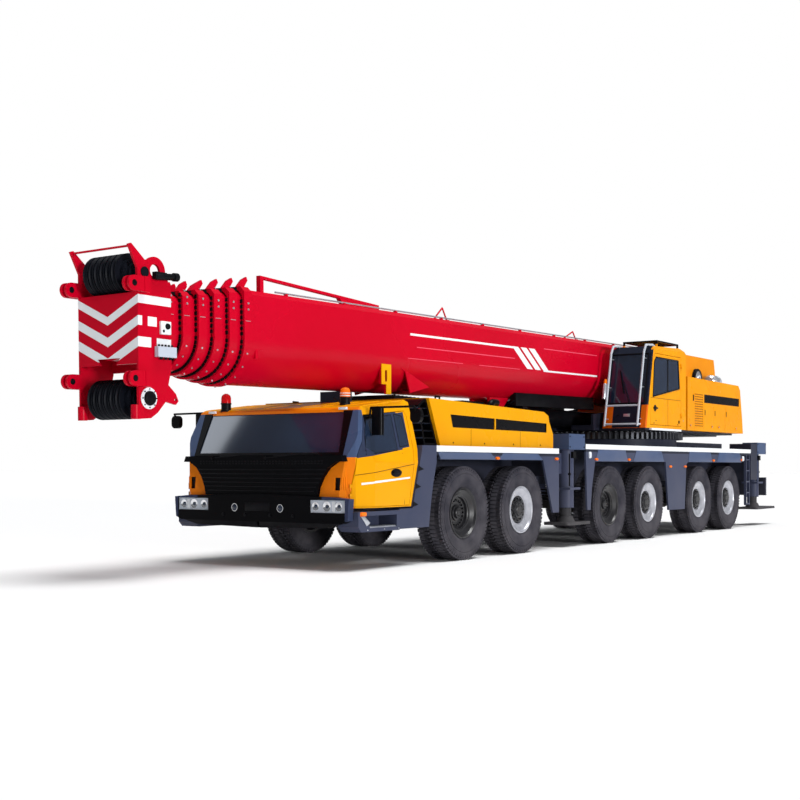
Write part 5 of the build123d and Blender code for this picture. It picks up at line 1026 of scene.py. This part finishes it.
# --- Upper works ---
# Welded turntable with the power house on its left side and the operator's cab ahead of it, all in
# orange-yellow gloss, with black trim, bolted covers and bent silver tubes.
CAB_LEAN = 0.2222
SILVER = (0.50, 0.54, 0.60)
upper_paint = skin_finish(
    "upper_paint", (0.82, 0.315, 0.002), (0.78, 0.275, 0.002), 0.27, dust=0.03,
    patches=[(BLACK, UPRIGHT, [((-6.62, 1.44, 2.425), (-4.69, 1.4475, 2.595))]),
             # Dark orange on the recessed faces beside the latch: painted shade inside the louvre slots
             ((0.30, 0.09, 0.002), UPRIGHT, [((-4.65, 1.43, 1.97), (-4.21, 1.4485, 2.60))])])
roof_tubes = [((-2.62, low, 3.325), (-2.1, high, 3.378)) for low, high in ((0.725, 0.776), (1.334, 1.386))]
op_paint = skin_finish(
    "operator_cab_paint", (0.84, 0.335, 0.002), (0.80, 0.295, 0.002), 0.27, dust=0.03,
    # Redder orange over the front below the window: painted shade on the face turned from the light
    patches=[((0.74, 0.13, 0.004), (CAB_LEAN, 0, 0), [((-1.60, 0.6, 1.86), (-1.515, 1.46, 2.33))]),
             ((0.010, 0.013, 0.026), (CAB_LEAN, 0, 0),
              [((-1.60, 0.83, 1.90), (-1.515, 1.35, 2.29)), ((-1.60, 0.6, 2.29), (-1.515, 1.452, 3.26)),
               ((-1.72, 0.6, 3.19), (-1.515, 1.40, 3.345))]),
             (SILVER, (CAB_LEAN, 0, 0), [((-1.515, 0.6, 1.86), (-1.30, 1.46, 3.36))]),
             (SILVER, UPRIGHT, roof_tubes),
             (BLACK, UPRIGHT, [((-3.70, 0.6, 3.378), (-2.62, 1.46, 3.5))])])
turntable_paint = skin_finish(
    "turntable_paint", (0.80, 0.29, 0.002), (0.76, 0.25, 0.002), 0.3, dust=0.05,
    patches=[((0.014, 0.016, 0.028), UPRIGHT,
              [((-7.7, -0.1, 1.7), (-1.7, 1.5, 1.951)), ((-3.4, -0.1, 1.9), (-1.6, 0.68, 2.38))]),
             (WHITE, UPRIGHT, [((-3.48, 1.4502, 1.84), (-2.13, 1.5, 1.9))]),
             ((0.010, 0.011, 0.016), UPRIGHT,
              [((-6.72, 0.5855, 2.76), (-6.24, 0.60, 3.26)), ((-6.72, 0.60, 2.76), (-6.24, 0.64, 3.26))])])
dress(upper_paint, "power_house")
dress(op_paint, "operator_cab_shell", "operator_cab_door")
dress(turntable_paint, "turntable")
dress(glass, "operator_cab_glass")


# Operator's cab front: window frame bead, wiper, blank plate, fire bottle with its orange cap, tube stubs
def cab_front(across, height, lift):
    """The point of the cab's sloping front at that height, lifted off it."""
    return (-1.539 - CAB_LEAN * height + lift, across, height)


piece = open_piece("op_cab_trim")
outline = [cab_front(y, z, 0.002) for y, z in ((0.715, 2.325), (1.395, 2.325), (1.395, 3.185), (0.715, 3.185))]
for start, end in zip(outline, outline[1:] + outline[:1]):
    add_rod(start, end, 0.012, sides=8)
add_rod(cab_front(1.13, 2.31, 0.02), cab_front(0.97, 2.72, 0.02), 0.007, sides=8)
add_rod(cab_front(1.00, 2.50, 0.016), cab_front(0.90, 2.90, 0.016), 0.010, sides=8)
add_rod(cab_front(1.13, 2.31, -0.01), cab_front(1.13, 2.31, 0.028), 0.020, sides=12)
for y in (0.93, 1.25):
    add_rod(cab_front(y, 2.12, -0.005), cab_front(y, 2.12, 0.010), 0.014, sides=12)
close_piece(piece, "turntable", "mask_black", black_part)
piece = open_piece("op_cab_bright_trim")
add_plate([cab_front(y, z, -0.002) for y, z in ((1.03, 2.09), (1.15, 2.09), (1.15, 2.14), (1.03, 2.14))],
          (0.006, 0, 0.001))
add_rod((-1.905, 0.705, 2.40), (-1.965, 0.705, 2.66), 0.034, sides=20)
add_rod((-1.965, 0.705, 2.66), (-1.972, 0.705, 2.69), 0.034, sides=20, far_radius=0.014)
add_rod((-3.66, 1.448, 2.06), (-3.66, 1.456, 2.06), 0.013, sides=12)
for y in (0.75, 1.36):
    for z in (2.05, 2.60, 3.10):
        add_rod(cab_front(y, z, -0.004), cab_front(y, z, 0.134), 0.010, sides=8)
close_piece(piece, "turntable", "cab_orange", bright, rounding=0.002)
piece = open_piece("op_cab_bottle_cap")
add_rod((-1.968, 0.705, 2.672), (-1.985, 0.705, 2.745), 0.030, sides=20, far_radius=0.022)
close_piece(piece, "turntable", "lamp_lens", lamp_orange)

# Operator's door: panes with their frames and divider, handle and lock, hinge caps, and its seam lines
OP_DOOR_FACE = 1.45
OP_WINDOW = [(-2.290, 2.440), (-3.480, 2.630), (-3.420, 3.130), (-2.430, 3.130), (-2.350, 3.050)]
piece = open_piece("op_door_panes")
add_plate([(x, OP_DOOR_FACE - 0.0035, z) for x, z in OP_WINDOW], (0, -0.004, 0))
close_piece(piece, "operator_cab_door", "window_glass", glass)
piece = open_piece("op_door_black")
for (x, z), (far_x, far_z) in zip(OP_WINDOW, OP_WINDOW[1:] + OP_WINDOW[:1]):
    add_rod((x, OP_DOOR_FACE + 0.001, z), (far_x, OP_DOOR_FACE + 0.001, far_z), 0.011, sides=8)
add_block((-2.985, 1.432, 2.545), (-2.925, 1.449, 3.130))
add_turned([(-0.004, 0.0), (-0.004, 0.060), (0.005, 0.056), (0.002, 0.038), (-0.001, 0.0)],
           (-2.39, OP_DOOR_FACE, 2.245), LEFTWARD, steps=32)
add_block((-2.480, 1.458, 2.232), (-2.300, 1.472, 2.258))
for x in (-2.470, -2.330):
    add_block((x - 0.012, 1.446, 2.230), (x + 0.012, 1.466, 2.260))
add_rod((-2.43, 1.446, 2.03), (-2.43, 1.455, 2.03), 0.012, sides=16)
add_rod((-3.46, 1.446, 2.03), (-3.46, 1.457, 2.03), 0.030, sides=20)
for x in (-2.34, -3.40):
    add_rod((x, 1.446, 1.985), (x, 1.456, 1.985), 0.013, sides=12)
close_piece(piece, "operator_cab_door", "mask_black", black_part, rounding=0.002)
piece = open_piece("op_door_lines")
for (x, z), (far_x, far_z) in (((-2.195, 2.42), (-3.550, 2.42)), ((-2.95, 1.96), (-2.95, 2.42))):
    add_rod((x, OP_DOOR_FACE + 0.0002, z), (far_x, OP_DOOR_FACE + 0.0002, far_z), 0.0035, sides=6)
close_piece(piece, "operator_cab_door", "cab_orange", seam_black_and_crease_shade)

# Power house: latch, seams, vent strips on its top and the rim of the hose reel on the turntable's cheek
REEL = (-6.48, 0.634, 3.01)
piece = open_piece("house_black_parts")
add_block((-4.175, 1.448, 2.445), (-4.135, 1.458, 2.560))
for x in (-4.74, -5.26, -5.87):
    add_block((x - 0.012, 1.448, 2.20), (x + 0.012, 1.456, 2.30))
for number in range(8):
    x = -6.45 + 0.075 * number
    add_block((x, 0.80, 2.855), (x + 0.03, 1.30, 2.868))
add_turned([(0.0, 0.165), (0.0, 0.205), (0.020, 0.200), (0.020, 0.165)], REEL, LEFTWARD, steps=48)
close_piece(piece, "turntable", "mask_black", black_part, rounding=0.002)
# The reel's bright face, the silencer drum on its brackets, two bent exhaust pipes and four rings
DRUM_END = [(0.12, 0.122), (0.125, 0.128), (0.145, 0.128), (0.15, 0.122), (0.21, 0.115), (0.24, 0.085), (0.24, 0.0)]
piece = open_piece("house_silver_parts")
add_turned([(0.0, 0.0), (0.0, 0.168), (0.010, 0.168), (0.012, 0.060), (0.026, 0.052), (0.026, 0.0)], REEL, LEFTWARD,
           steps=48)
add_turned([(-distance, radius) for distance, radius in reversed(DRUM_END)] + DRUM_END, (-7.02, 0.745, 2.99), FORWARD,
           steps=40)
for x in (-7.15, -6.89):
    add_block((x - 0.02, 0.580, 2.955), (x + 0.02, 0.660, 3.025))
for y, radius in ((0.78, 0.034), (0.92, 0.026)):
    bends = [(-3.93, y, 2.87), (-3.93, y, 3.18), (-4.02, y, 3.25), (-4.16, y, 3.24), (-4.24, y, 3.10), (-4.24, y, 2.87)]
    for start, end in zip(bends, bends[1:]):
        add_rod(start, end, radius, sides=16)
        bpy.ops.mesh.primitive_uv_sphere_add(segments=16, ring_count=8, radius=radius, location=start)
    bpy.ops.mesh.select_all(action="DESELECT")
for x in (-3.99, -5.08, -5.44, -6.40):
    add_turned([(0.0, 0.011), (0.0, 0.017), (0.004, 0.017), (0.004, 0.011)], (x, 1.464, 1.99), LEFTWARD, steps=20)
close_piece(piece, "turntable", "drum_grey", bright)

# Winch drum: cast steel barrel with wire rope laid on it in side-by-side turns
DRUM_HALF = 0.405
ROPE_PITCH = 0.03
DRUM_MIDDLE = (-7.34, 0, 3.03)
drum_finish = skin_finish("drum_grey", (0.22, 0.23, 0.26), (0.16, 0.17, 0.19), 0.42, cloud=5, dust=0.0, Metallic=0.4)
dress(drum_finish, "winch_drum")
rope_finish = skin_finish("wire_rope", (0.17, 0.17, 0.18), (0.11, 0.11, 0.12), 0.45, cloud=30, grain=700, dust=0.0,
                          bump=0.0008, Metallic=0.6)
turns = [(-DRUM_HALF, 0.200)]
for number in range(27):
    start = -DRUM_HALF + ROPE_PITCH * number
    turns += [(start + 0.004, 0.217), (start + 0.015, 0.229), (start + 0.026, 0.217), (start + ROPE_PITCH, 0.207)]
turns += [(DRUM_HALF + 0.001, 0.200)]
piece = open_piece("winch_rope")
add_turned(turns, DRUM_MIDDLE, LEFTWARD, steps=56)
close_piece(piece, "winch_drum", "drum_grey", rope_finish, smooth=60)
